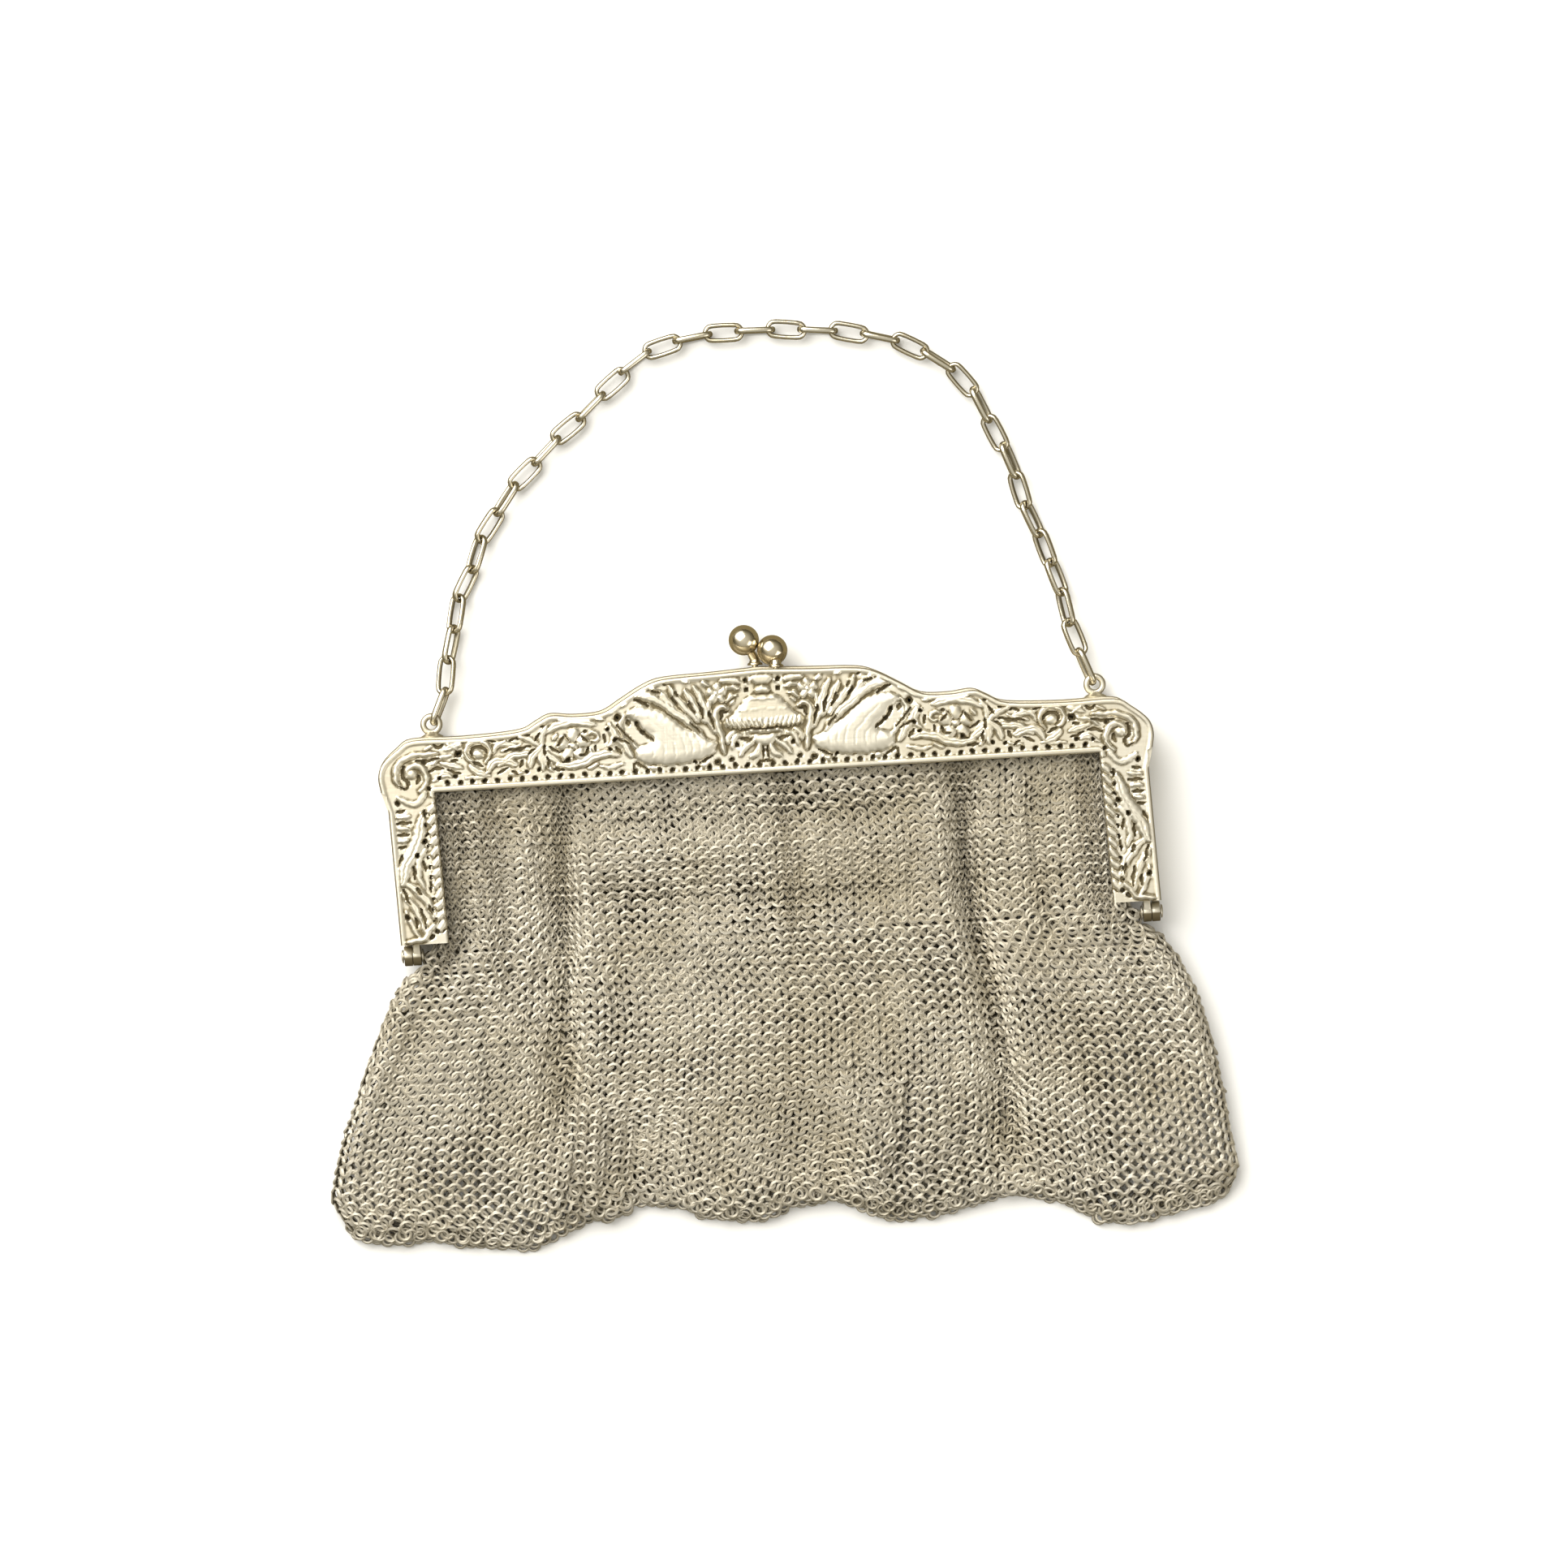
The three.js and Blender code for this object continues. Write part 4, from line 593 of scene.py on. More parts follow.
class NodeMaker:
    """Adds nodes and links to a node tree with few words."""

    def __init__(self, tree: bpy.types.NodeTree) -> None:
        """Keeps the tree."""
        self.tree = tree

    def add(self, kind: str, inputs: dict | None = None, **settings: object) -> bpy.types.Node:
        """Adds a node.

        Args:
            kind: Type name of the node.
            inputs: Values or sockets for the node's inputs, by name or number.
            settings: Properties of the node.

        Returns:
            The node.
        """
        node = self.tree.nodes.new(kind)
        for name, value in settings.items():
            setattr(node, name, value)
        for name, value in (inputs or {}).items():
            if isinstance(value, bpy.types.NodeSocket):
                self.tree.links.new(value, node.inputs[name])
            else:
                node.inputs[name].default_value = value
        return node

    def math(self, operation: str, first: object, second: object = 0.0) -> bpy.types.NodeSocket:
        """Adds one step of arithmetic."""
        return self.add("ShaderNodeMath", {0: first, 1: second}, operation=operation).outputs[0]

    def mix(self, share: object, first: object, second: object) -> bpy.types.NodeSocket:
        """Mixes two colours."""
        node = self.add("ShaderNodeMix", data_type="RGBA")
        for index, value in ((0, share), (6, first), (7, second)):
            if isinstance(value, bpy.types.NodeSocket):
                self.tree.links.new(value, node.inputs[index])
            else:
                node.inputs[index].default_value = value
        return node.outputs[2]

    def ramp(self, value: bpy.types.NodeSocket, low: float, high: float) -> bpy.types.NodeSocket:
        """Maps a span of values softly onto 0 to 1."""
        inputs = {0: value, 1: low, 2: high}
        return self.add("ShaderNodeMapRange", inputs, interpolation_type="SMOOTHSTEP").outputs[0]

    def noise(self, vector: bpy.types.NodeSocket, scale: float, detail: float = 3.0) -> bpy.types.NodeSocket:
        """Adds a noise pattern with so many features to the metre."""
        return self.add("ShaderNodeTexNoise", {"Vector": vector, "Scale": scale, "Detail": detail}).outputs["Fac"]


def new_group(
    name: str, inputs: dict[str, str], outputs: dict[str, str]
) -> tuple[bpy.types.NodeTree, NodeMaker, dict[str, bpy.types.NodeSocket], bpy.types.Node]:
    """Makes an empty node group.

    Args:
        name: Name of the group.
        inputs: Socket type of each input, by name.
        outputs: Socket type of each output, by name.

    Returns:
        The tree, its maker, the input sockets by name, and the output node.
    """
    tree = bpy.data.node_groups.new(name, "ShaderNodeTree")
    for direction, sockets in (("INPUT", inputs), ("OUTPUT", outputs)):
        for label, kind in sockets.items():
            tree.interface.new_socket(label, in_out=direction, socket_type=kind)
    maker = NodeMaker(tree)
    start = maker.add("NodeGroupInput")
    end = maker.add("NodeGroupOutput")
    return tree, maker, {label: start.outputs[label] for label in inputs}, end


def patina_and_shade_group() -> bpy.types.NodeTree:
    """Dark patina in the recesses together with painted shade passed in through the Recess input, worn pale crests and
    slow drifts of tarnish.
    """
    tree, maker, value, end = new_group(
        "patina_and_shade",
        {
            "Vector": "NodeSocketVector", "Recess": "NodeSocketFloat", "Silver": "NodeSocketColor",
            "Tarnish": "NodeSocketColor", "Dark": "NodeSocketColor", "Depth": "NodeSocketFloat",
            "Drift": "NodeSocketFloat", "Roughness": "NodeSocketFloat",
        },
        {"Color": "NodeSocketColor", "Roughness": "NodeSocketFloat"},
    )
    cloudy = maker.noise(value["Vector"], 420, 4)
    drift = maker.noise(value["Vector"], 55, 3)
    uneven = maker.math("ADD", value["Recess"], maker.math("MULTIPLY", maker.math("SUBTRACT", cloudy, 0.5), 0.35))
    mask = maker.math("MULTIPLY", maker.ramp(uneven, 0.25, 1.0), value["Depth"])
    stain = maker.math("MULTIPLY", maker.ramp(drift, 0.35, 0.7), value["Drift"])
    worn = maker.math("MULTIPLY", maker.ramp(value["Recess"], -0.05, -0.6), 0.5)
    plain = maker.mix(stain, value["Silver"], value["Tarnish"])
    bright = maker.mix(worn, plain, value["Silver"])
    rough = maker.math("ADD", value["Roughness"], maker.math("MULTIPLY", mask, 0.3))
    rough = maker.math("ADD", rough, maker.math("MULTIPLY", stain, 0.06))
    maker.tree.links.new(maker.mix(mask, bright, value["Dark"]), end.inputs["Color"])
    maker.tree.links.new(rough, end.inputs["Roughness"])
    return tree


def wear_group() -> bpy.types.NodeTree:
    """Fine scratches and small dents of handled silver, as a height."""
    tree, maker, value, end = new_group(
        "wear", {"Vector": "NodeSocketVector", "Scale": "NodeSocketFloat"}, {"Height": "NodeSocketFloat"}
    )
    scaled = maker.add("ShaderNodeVectorMath", {0: value["Vector"], 3: value["Scale"]}, operation="SCALE").outputs[0]
    heights = []
    for turn, stretch in ((0.5, (1.0, 14.0, 4.0)), (-0.9, (12.0, 1.0, 4.0))):
        placed = maker.add("ShaderNodeMapping", {"Vector": scaled, "Rotation": (0, 0, turn), "Scale": stretch})
        heights.append(maker.noise(placed.outputs[0], 120, 5))
    dents = maker.math("MULTIPLY", maker.noise(scaled, 90, 2), 2.0)
    both = maker.math("ADD", *heights)
    maker.tree.links.new(maker.math("ADD", both, dents), end.inputs["Height"])
    return tree


@dataclass(frozen=True)
class SilverFinish:
    """A silver surface with patina in its recesses, and painted shade where a piece passes it in.

    Attributes:
        name: Name of the material.
        silver: Colour of the clean metal.
        tarnish: Colour where it has dulled.
        dark: Colour of the patina, also used for painted shade.
        roughness: Roughness of the clean metal.
        depth: How strongly the recesses and the painted shade are darkened.
        drift: How strongly the tarnish shows.
        wear: Strength of the scratches, in the bump.
    """

    name: str
    silver: tuple[float, float, float, float]
    tarnish: tuple[float, float, float, float]
    dark: tuple[float, float, float, float] = (0.1, 0.08, 0.038, 1)
    roughness: float = 0.3
    depth: float = 0.9
    drift: float = 0.5
    wear: float = 0.15

    def make(self) -> bpy.types.Material:
        """Builds the material, or gives it back where it stands already."""
        known = bpy.data.materials.get(self.name)
        if known:
            return known
        material = bpy.data.materials.new(self.name)
        material.use_nodes = True
        material.node_tree.nodes.clear()
        maker = NodeMaker(material.node_tree)
        place = maker.add("ShaderNodeTexCoord").outputs["Object"]
        recess_and_shade = maker.add("ShaderNodeAttribute", attribute_name="recess_and_shade").outputs["Fac"]
        patina_and_shade = maker.add("ShaderNodeGroup", node_tree=bpy.data.node_groups.get("patina_and_shade") or patina_and_shade_group())
        wear = maker.add("ShaderNodeGroup", node_tree=bpy.data.node_groups.get("wear") or wear_group())
        material.node_tree.links.new(place, patina_and_shade.inputs["Vector"])
        material.node_tree.links.new(recess_and_shade, patina_and_shade.inputs["Recess"])
        for label, value in (
            ("Silver", self.silver), ("Tarnish", self.tarnish), ("Dark", self.dark),
            ("Depth", self.depth), ("Drift", self.drift), ("Roughness", self.roughness),
        ):
            patina_and_shade.inputs[label].default_value = value
        material.node_tree.links.new(place, wear.inputs["Vector"])
        wear.inputs["Scale"].default_value = 1.0
        bump = maker.add(
            "ShaderNodeBump", {"Height": wear.outputs["Height"], "Strength": self.wear, "Distance": 0.0002}
        )
        shader = maker.add(
            "ShaderNodeBsdfPrincipled",
            {
                "Base Color": patina_and_shade.outputs["Color"], "Roughness": patina_and_shade.outputs["Roughness"],
                "Metallic": 1.0, "Normal": bump.outputs["Normal"],
            },
        )
        maker.add("ShaderNodeOutputMaterial", {"Surface": shader.outputs["BSDF"]})
        return material


# The dark colours below serve both for patina in the hollows and for painted shade on the hinge barrels, the clasp
# stems and the folds of the ring mesh.
FRAME_SILVER = SilverFinish(
    "aged_silver", (0.71, 0.668, 0.562, 1), (0.58, 0.52, 0.385, 1), dark=(0.215, 0.178, 0.105, 1),
    roughness=0.42, depth=1.0, drift=0.6,
)
MESH_SILVER = SilverFinish(
    "ring_silver", (0.64, 0.605, 0.525, 1), (0.52, 0.472, 0.365, 1), dark=(0.11, 0.09, 0.05, 1),
    roughness=0.68, depth=0.95, drift=0.7, wear=0.0,
)
BALL_SILVER = SilverFinish(
    "polished_silver", (0.78, 0.71, 0.56, 1), (0.56, 0.46, 0.29, 1), roughness=0.16, depth=0.5, drift=0.4, wear=0.06
)
CHAIN_SILVER = SilverFinish(
    "wire_silver", (0.68, 0.63, 0.51, 1), (0.48, 0.41, 0.26, 1), roughness=0.24, depth=0.9, drift=0.6, wear=0.08
)


def finish_piece(obj: bpy.types.Object, finish: SilverFinish, nodes: list[str], angle: float = 40) -> None:
    """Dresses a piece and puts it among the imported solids.

    Args:
        obj: The piece, on the plan in millimetres.
        finish: Its finish.
        nodes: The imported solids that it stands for.
        angle: Edges that bend more than this many degrees stay sharp.
    """
    activate(obj)
    if not obj.data.attributes.get("recess_and_shade"):
        set_recess_and_shade(obj, 0.0)
    bpy.ops.object.shade_smooth_by_angle(angle=math.radians(angle))
    obj.data.transform(SIZES.placing())
    obj.data.update()
    obj.data.materials.clear()
    obj.data.materials.append(finish.make())
    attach(obj, BODY)
    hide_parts(*nodes)
    triangles = sum(len(face.vertices) - 2 for face in obj.data.polygons)
    LOG.info("%s: %d triangles, stands for %s", obj.name, triangles, ", ".join(nodes[:3]))


# Frame


class Relief:
    """Height of the cast work over points of the plate's right-hand side, in millimetres."""

    def __init__(self, x: np.ndarray, y: np.ndarray) -> None:
        """Starts with a flat plate over these points."""
        self.x = x + 0.1 * np.sin(1.9 * y + 0.7 * x) + 0.06 * np.sin(4.3 * y - 2.1 * x + 1)
        self.y = y + 0.1 * np.sin(1.7 * x - 0.9 * y + 2) + 0.06 * np.sin(3.9 * x + 2.3 * y)
        self.height = np.zeros(x.shape)
        self.pierced = np.zeros(x.shape, bool)

    def near(self, line: np.ndarray, reach: float) -> np.ndarray:
        """Numbers of the points that lie near a line."""
        low = line.min(axis=0) - reach
        high = line.max(axis=0) + reach
        return np.flatnonzero((self.x > low[0]) & (self.x < high[0]) & (self.y > low[1]) & (self.y < high[1]))

    def ridge(self, points: Line, width: float, height: float, vein: float = 0.0, taper: float = 0.45) -> None:
        """Raises a rounded ribbon or leaf.

        Args:
            points: Points of its middle line.
            width: Half its width.
            height: Height over the plate.
            vein: Depth of the line down its middle.
            taper: Width at both ends as a share of the width.
        """
        line = smooth_line(points, 5)
        where = self.near(line, width)
        distance, share = line_distance(self.x[where], self.y[where], line)
        half = width * (taper + (1 - taper) * np.sin(np.pi * np.clip(share, 0, 1)) ** 0.6)
        rise = height * np.sqrt(np.clip(1 - (distance / half) ** 2, 0, 1))
        rise -= vein * np.exp(-((distance / 0.16) ** 2)) * (rise > 0)
        self.height[where] = np.maximum(self.height[where], rise)

    def dome(self, outline: np.ndarray, height: float, edge: float) -> None:
        """Raises a closed shape with a rounded edge."""
        where = self.near(outline, 0)
        x, y = self.x[where], self.y[where]
        distance, _ = line_distance(x, y, np.vstack([outline, outline[:1]]))
        depth = np.clip(distance / edge, 0, 1) * inside(x, y, outline)
        rise = height * np.sqrt(1 - (1 - depth) ** 2)
        self.height[where] = np.maximum(self.height[where], rise)

    def groove(self, points: Line, width: float, depth: float, share_cut: float = 0.5) -> None:
        """Cuts a stroke with pointed ends.

        Args:
            points: Points of its middle line.
            width: Half its width.
            depth: Depth under the plate.
            share_cut: Part of the raised work over the plate that it cuts away too.
        """
        line = smooth_line(points, 4)
        where = self.near(line, width)
        distance, share = line_distance(self.x[where], self.y[where], line)
        half = width * (0.45 + 0.55 * np.sin(np.pi * np.clip(share, 0, 1)))
        cut = np.clip(1 - (distance / half) ** 2, 0, 1) ** 0.5
        self.height[where] -= (depth + share_cut * np.maximum(self.height[where], 0)) * cut

    def hole(self, x: float, y: float, radius: float, corners: int = 0) -> None:
        """Cuts a hole through the plate, round or with corners."""
        where = self.near(np.array([[x, y]]), 1.6 * radius)
        across, up = self.x[where] - x, self.y[where] - y
        distance = np.maximum(abs(across), abs(up)) if corners == 4 else np.hypot(across, up)
        fall = smoothstep(distance, 1.35 * radius, 0.7 * radius)
        self.height[where] = self.height[where] * (1 - fall) - SIZES.plate * fall
        self.pierced[where] |= distance < 0.62 * radius


@dataclass
class FrameHalf:
    """One half of the frame: face plate, rim wall and hinge knuckles.

    Attributes:
        side: Front or back half.
        columns: Columns of the plate's grid over half of the bar.
        rows: Rows over the bar.
        leg_columns: Columns across a leg.
        leg_rows: Rows down a leg.
        dot_pitch: Distance between the dots along the bar.
        rope_pitch: Distance between the turns of the roped border.
        rim: Width of the plain edge along the opening.
        rim_height: Its height over the plate.
        band: Width of the plain edge along the outside.
        band_height: Its height over the plate.
        fine_cut: Half width, depth and part cut away of the engraved lines.
        groove_spread: How much wider than in the table the dark strokes are cut.
        groove_depth: How deep they are cut.
        ground: How dark the flat ground between the raised work is.
    """

    side: Side
    columns: int
    rows: int
    leg_columns: int
    leg_rows: int
    dot_pitch: float = 2.45
    dot_radius: float = 0.42
    dot_line: float = 1.75
    rope_pitch: float = 2.08
    rim: float = 1.15
    rim_height: float = 0.4
    band: float = 1.0
    band_height: float = 0.22
    fine_cut: tuple[float, float, float] = (0.25, 0.012, 0.04)
    groove_spread: float = 1.25
    groove_depth: float = 0.6
    edge_round: float = 0.45
    ground: float = 0.2

    def plan_grids(self) -> list[np.ndarray]:
        """Grids of the bar's right half and of the right leg, meeting along one line."""
        edge = outer_edge(Side.FRONT)
        right = edge[len(edge) // 2:]
        side_points = right[np.argmax(right[:, 0] >= SIZES.opening):]
        top = np.interp(SIZES.opening, right[:60, 0], right[:60, 1])
        x = np.linspace(0, SIZES.opening, self.columns + 1)
        crest = right[right[:, 0] < 0.947 * SIZES.half_width + 0.1]
        heights = np.interp(x, crest[:, 0], crest[:, 1])
        heights[-1] = top
        rise = np.linspace(0, 1, self.rows + 1)[:, None]
        bar = np.stack([np.broadcast_to(x, (self.rows + 1, x.size)), rise * heights], axis=-1)
        corner = int(np.argmin(np.abs(side_points[:, 0] - 0.947 * SIZES.half_width) + (side_points[:, 1] < 8) * 99))
        upper = resample(np.vstack([[SIZES.opening, top], side_points[: corner + 1]]), self.leg_columns + 1)
        foot = -SIZES.leg_length
        lower = np.linspace([SIZES.opening, foot], [SIZES.leg_outer, foot], self.leg_columns + 1)
        inner_y = np.concatenate([np.linspace(foot, 0, self.leg_rows + 1)[:-1], rise[:, 0] * top])
        inner = np.stack([np.full(inner_y.size, SIZES.opening), inner_y], axis=1)
        down = side_points[corner:][::-1]
        below = down[down[:, 1] <= 0]
        leg_y = inner_y[: self.leg_rows + 1]
        outer_low = np.stack([np.interp(leg_y, below[:, 1], below[:, 0]), leg_y], axis=1)
        outer_high = resample(np.vstack([outer_low[-1:], down[down[:, 1] > 0]]), self.rows + 1)
        outer = np.vstack([outer_low, outer_high[1:]])
        a = np.linspace(0, 1, self.leg_columns + 1)[None, :, None]
        b = np.linspace(0, 1, inner_y.size)[:, None, None]
        leg = (1 - a) * inner[:, None] + a * outer[:, None] + (1 - b) * lower[None] + b * upper[None]
        corners = (1 - a) * (1 - b) * lower[0] + a * (1 - b) * lower[-1] + (1 - a) * b * upper[0] + a * b * upper[-1]
        return [bar, leg - corners]

    def heights(self, x: np.ndarray, y: np.ndarray) -> Relief:
        """Works out the cast work over points of the right-hand side."""
        relief = Relief(x, y)
        edge = outer_edge(Side.FRONT)
        outside, _ = line_distance(x, y, edge[len(edge) // 2:])
        hole_side = np.where(x < SIZES.opening, y, np.where(y < 0, x - SIZES.opening, np.hypot(x - SIZES.opening, y)))
        if self.side is Side.FRONT:
            self.cast(relief, outside, hole_side)
        else:
            line = np.exp(-(((outside - 2.2) / 0.3) ** 2)) + np.exp(-(((hole_side - 1.8) / 0.3) ** 2))
            relief.height -= 0.18 * np.clip(line, 0, 1)
        for distance in (outside, hole_side):
            share = 1 - np.clip(distance / self.edge_round, 0, 1)
            relief.height -= self.edge_round * (1 - np.sqrt(1 - share**2))
        return relief

    def cast(self, relief: Relief, outside: np.ndarray, hole_side: np.ndarray) -> None:
        """Models the ornament of the front.

        Args:
            relief: The heights to work on.
            outside: Distance of each point from the outer edge.
            hole_side: Distance of each point from the inner edge.
        """
        for points, width, height, vein in RIDGES:
            relief.ridge(points, width, height, vein)
        relief.dome(smooth_line(SWAN_BODY, 4), 0.75, 2.2)
        self.urn(relief)
        self.flower(relief, (37.5, 7.5), 1.95, 1.25, 0.55)
        self.flower(relief, (8.9, 16.0), 1.05, 0.8, 0.5)
        relief.ridge(((56.0, 7.0), (56.4, 6.9)), 0.95, 0.55, 0, 1.0)
        relief.ridge(((69.2, 3.9), (69.5, 3.7)), 0.95, 0.6, 0, 1.0)
        for line in FINE_LINES:
            relief.groove(line, *self.fine_cut)
        for points, width in GROOVES:
            relief.groove(points, width * self.groove_spread, self.groove_depth)
        band = smoothstep(outside, self.band + 0.15, self.band - 0.25)
        relief.height = relief.height * (1 - band) + self.band_height * band
        rim = smoothstep(hole_side, self.rim + 0.15, self.rim - 0.2) * (relief.y > -0.8)
        relief.height = relief.height * (1 - rim) + self.rim_height * rim
        self.edge_work(relief)
        for hole_x, hole_y, radius in HOLES:
            relief.hole(hole_x, hole_y, radius, 4 if hole_x == SQUARE_HOLE else 0)

    def urn(self, relief: Relief) -> None:
        """Models the covered urn in the middle, with its roped band and hanging leaves."""
        for outline, height, edge in URN_PARTS:
            right = np.array(outline, float)
            whole = np.vstack([right, (right * [-1, 1])[::-1]])
            relief.dome(whole, height, edge)
        for x in np.arange(-0.45, 7.8, 0.92):
            sag = 0.35 * (x / 7.5) ** 2
            relief.ridge(((x - 0.3, 9.0 + sag), (x, 9.7 + sag), (x + 0.35, 10.5 + sag)), 0.5, 0.8, 0, 0.7)
        relief.groove(((-1.0, 8.75), (2.5, 8.8), (5.0, 8.75)), 0.3, 0.35)
        for points in (
            ((2.0, 6.6), (3.6, 5.4), (5.0, 3.7)), ((0.9, 5.6), (1.6, 4.2), (3.2, 3.1)),
            ((4.4, 7.6), (5.6, 7.3), (6.6, 5.2)), ((5.9, 8.2), (7.0, 7.6), (7.2, 6.2)),
        ):
            relief.ridge(points, 0.62, 0.5, 0.1)

    def flower(self, relief: Relief, centre: tuple[float, float], reach: float, petal: float, height: float) -> None:
        """Models a five-petalled flower.

        Args:
            relief: The heights to work on.
            centre: Middle of the flower.
            reach: Distance of the petals from the middle.
            petal: Radius of a petal.
            height: Height of the petals.
        """
        for index in range(5):
            angle = math.radians(90 + 72 * index)
            x, y = centre[0] + reach * math.cos(angle), centre[1] + reach * math.sin(angle)
            tip = (x + 0.3 * math.cos(angle), y + 0.3 * math.sin(angle))
            relief.ridge(((x, y), tip), petal, height, 0, 1.0)
            gap = angle + math.radians(36)
            start = (centre[0] + 0.7 * reach * math.cos(gap), centre[1] + 0.7 * reach * math.sin(gap))
            end = (centre[0] + 1.5 * reach * math.cos(gap), centre[1] + 1.5 * reach * math.sin(gap))
            relief.groove((start, end), 0.18 * petal, 0.3)
        button = ((centre[0] - 0.05, centre[1]), (centre[0] + 0.05, centre[1]))
        relief.ridge(button, 0.42 * reach, height + 0.15, 0, 1.0)

    def edge_work(self, relief: Relief) -> None:
        """Models the row of dots along the bar and the roped border down a leg."""
        for index in range(int((SIZES.opening - 1) / self.dot_pitch)):
            relief.hole((index + 0.5) * self.dot_pitch, self.dot_line, self.dot_radius)
        steps = int((SIZES.leg_length - 3.5) / self.rope_pitch)
        for index in range(steps):
            y = -3.2 - index * self.rope_pitch
            x = SIZES.opening
            relief.ridge(((x + 0.35, y + 0.65), (x + 0.95, y + 0.1), (x + 1.6, y - 0.6)), 0.72, 0.5, 0, 0.85)
            relief.hole(x + 2.15, y - 1.0, 0.4)
            relief.groove(((x + 0.2, y - 0.75), (x + 1.2, y - 1.2)), 0.24, 0.3)

    def plate(self) -> bpy.types.Object:
        """Builds the face plate as one closed body with its holes cut through."""
        points, recess_and_shade, faces = [], [], []
        total = 0
        for grid in self.plan_grids():
            shape = grid.shape[:2]
            relief = self.heights(grid[..., 0].ravel(), grid[..., 1].ravel())
            height = relief.height.reshape(shape)
            hollow = np.clip((blur(height, 3) - height) / 0.2, -1, 1) + 1.2 * np.clip(-height - 0.12, 0, 1)
            if self.side is Side.FRONT:
                hollow += self.ground * (1 - smoothstep(height, 0.02, 0.3))
            pierced = relief.pierced.reshape(shape)
            for mirrored in (False, True):
                x = -grid[..., 0] if mirrored else grid[..., 0]
                sheet = leaning(np.stack([x, grid[..., 1], height], axis=-1))
                numbers = np.arange(height.size).reshape(shape) + total
                quads = np.stack([numbers[:-1, :-1], numbers[:-1, 1:], numbers[1:, 1:], numbers[1:, :-1]], axis=-1)
                open_cell = without_corners(pierced[:-1, :-1] & pierced[:-1, 1:] & pierced[1:, 1:] & pierced[1:, :-1])
                quads = quads[~open_cell]
                faces.append(quads[:, ::-1] if mirrored else quads)
                points.append(sheet.reshape(-1, 3))
                recess_and_shade.append(hollow.ravel())
                total += height.size
        obj = new_mesh(f"frame_{self.side.value}_plate", np.vstack(points), np.vstack(faces))
        set_recess_and_shade(obj, np.concatenate(recess_and_shade))
        bpy.ops.object.mode_set(mode="EDIT")
        bpy.ops.mesh.select_all(action="SELECT")
        bpy.ops.mesh.remove_doubles(threshold=0.002)
        bpy.ops.mesh.delete_loose()
        bpy.ops.mesh.select_mode(type="EDGE")
        bpy.ops.mesh.select_all(action="DESELECT")
        bpy.ops.mesh.select_non_manifold(
            extend=False, use_wire=True, use_boundary=True,
            use_multi_face=False, use_non_contiguous=False, use_verts=False,
        )
        bpy.ops.mesh.extrude_region_move(TRANSFORM_OT_translate={"value": (0, 0, -0.01)})
        bpy.ops.transform.resize(value=(1, 1, 0), center_override=(0, 0, -SIZES.plate))
        bpy.ops.mesh.fill(use_beauty=True)
        bpy.ops.object.mode_set(mode="OBJECT")
        return obj

    def wall(self) -> bpy.types.Object:
        """Builds the rim wall round the outside, hanging from the plate."""
        edge = resample(outer_edge(Side.FRONT), 400)
        low, high = self.edge_round - SIZES.half_depth, -0.5
        lip = low - self.edge_round
        section = [
            (0.0, high), (0.0, low), (0.2, lip), (SIZES.wall - 0.2, lip), (SIZES.wall, low), (SIZES.wall, high),
        ]
        rings = [np.column_stack([leaning(inset(edge, depth + 0.02)), np.full(len(edge), z)]) for depth, z in section]
        points = np.stack(rings, axis=1).reshape(-1, 3)
        count = len(section)
        faces = [
            [row * count + i, row * count + (i + 1) % count, (row + 1) * count + (i + 1) % count, (row + 1) * count + i]
            for row in range(len(edge) - 1)
            for i in range(count)
        ]
        faces += [list(range(count)), list(range(len(points) - count, len(points)))[::-1]]
        obj = new_mesh(f"frame_{self.side.value}_wall", points, faces)
        outward(obj)
        return obj

    def leg_ends(self) -> list[bpy.types.Object]:
        """Builds the small walls that close the legs' ends over the hinges."""
        parts = []
        width = SIZES.leg_outer - 0.1 - (SIZES.opening + 5.3)
        for sign in (-1, 1):
            x = sign * (SIZES.leg_outer - 0.1 - width / 2) + SIZES.lean
            place = (x, SIZES.wall / 2 - SIZES.leg_length + 0.05, -SIZES.half_depth / 2 - 0.1)
            bpy.ops.mesh.primitive_cube_add(size=1, location=place)
            end = bpy.context.object
            end.scale = (width, SIZES.wall, SIZES.half_depth - 0.3)
            bake_place(end)
            apply_modifier(end, "BEVEL", width=0.2, segments=2, limit_method="ANGLE")
            parts.append(end)
        return parts

    def knuckles(self) -> list[bpy.types.Object]:
        """Builds this half's hinge knuckles with the straps that hold them."""
        parts = []
        middle = SIZES.clearance / 2 + SIZES.half_depth
        hinge_width = 2 * SIZES.knuckle_width + 3 * SIZES.clearance + 2 * SIZES.pin_head
        first = SIZES.leg_outer - hinge_width + 2 * SIZES.pin_head + SIZES.clearance
        start = first if self.side is Side.FRONT else first + SIZES.knuckle_width + SIZES.clearance
        for sign in (-1, 1):
            x = sign * (start + SIZES.knuckle_width / 2) + float(SIZES.lean_at(SIZES.hinge_y))
            bpy.ops.mesh.primitive_cylinder_add(
                vertices=40, radius=SIZES.knuckle_radius, depth=SIZES.knuckle_width + 0.2,
                location=(x, SIZES.hinge_y, -middle), rotation=(0, math.pi / 2, 0),
            )
            barrel = bpy.context.object
            bake_place(barrel)
            apply_modifier(barrel, "BEVEL", width=0.12, segments=2, limit_method="ANGLE")
            parts.append(barrel)
            bpy.ops.mesh.primitive_cube_add(size=1, location=(x, SIZES.hinge_y + 1.5, -middle + 1.3))
            strap = bpy.context.object
            strap.scale = (SIZES.knuckle_width, 2.6, 1.2)
            bake_place(strap)
            apply_modifier(strap, "BEVEL", width=0.2, segments=2, limit_method="ANGLE")
            parts.append(strap)
        return parts

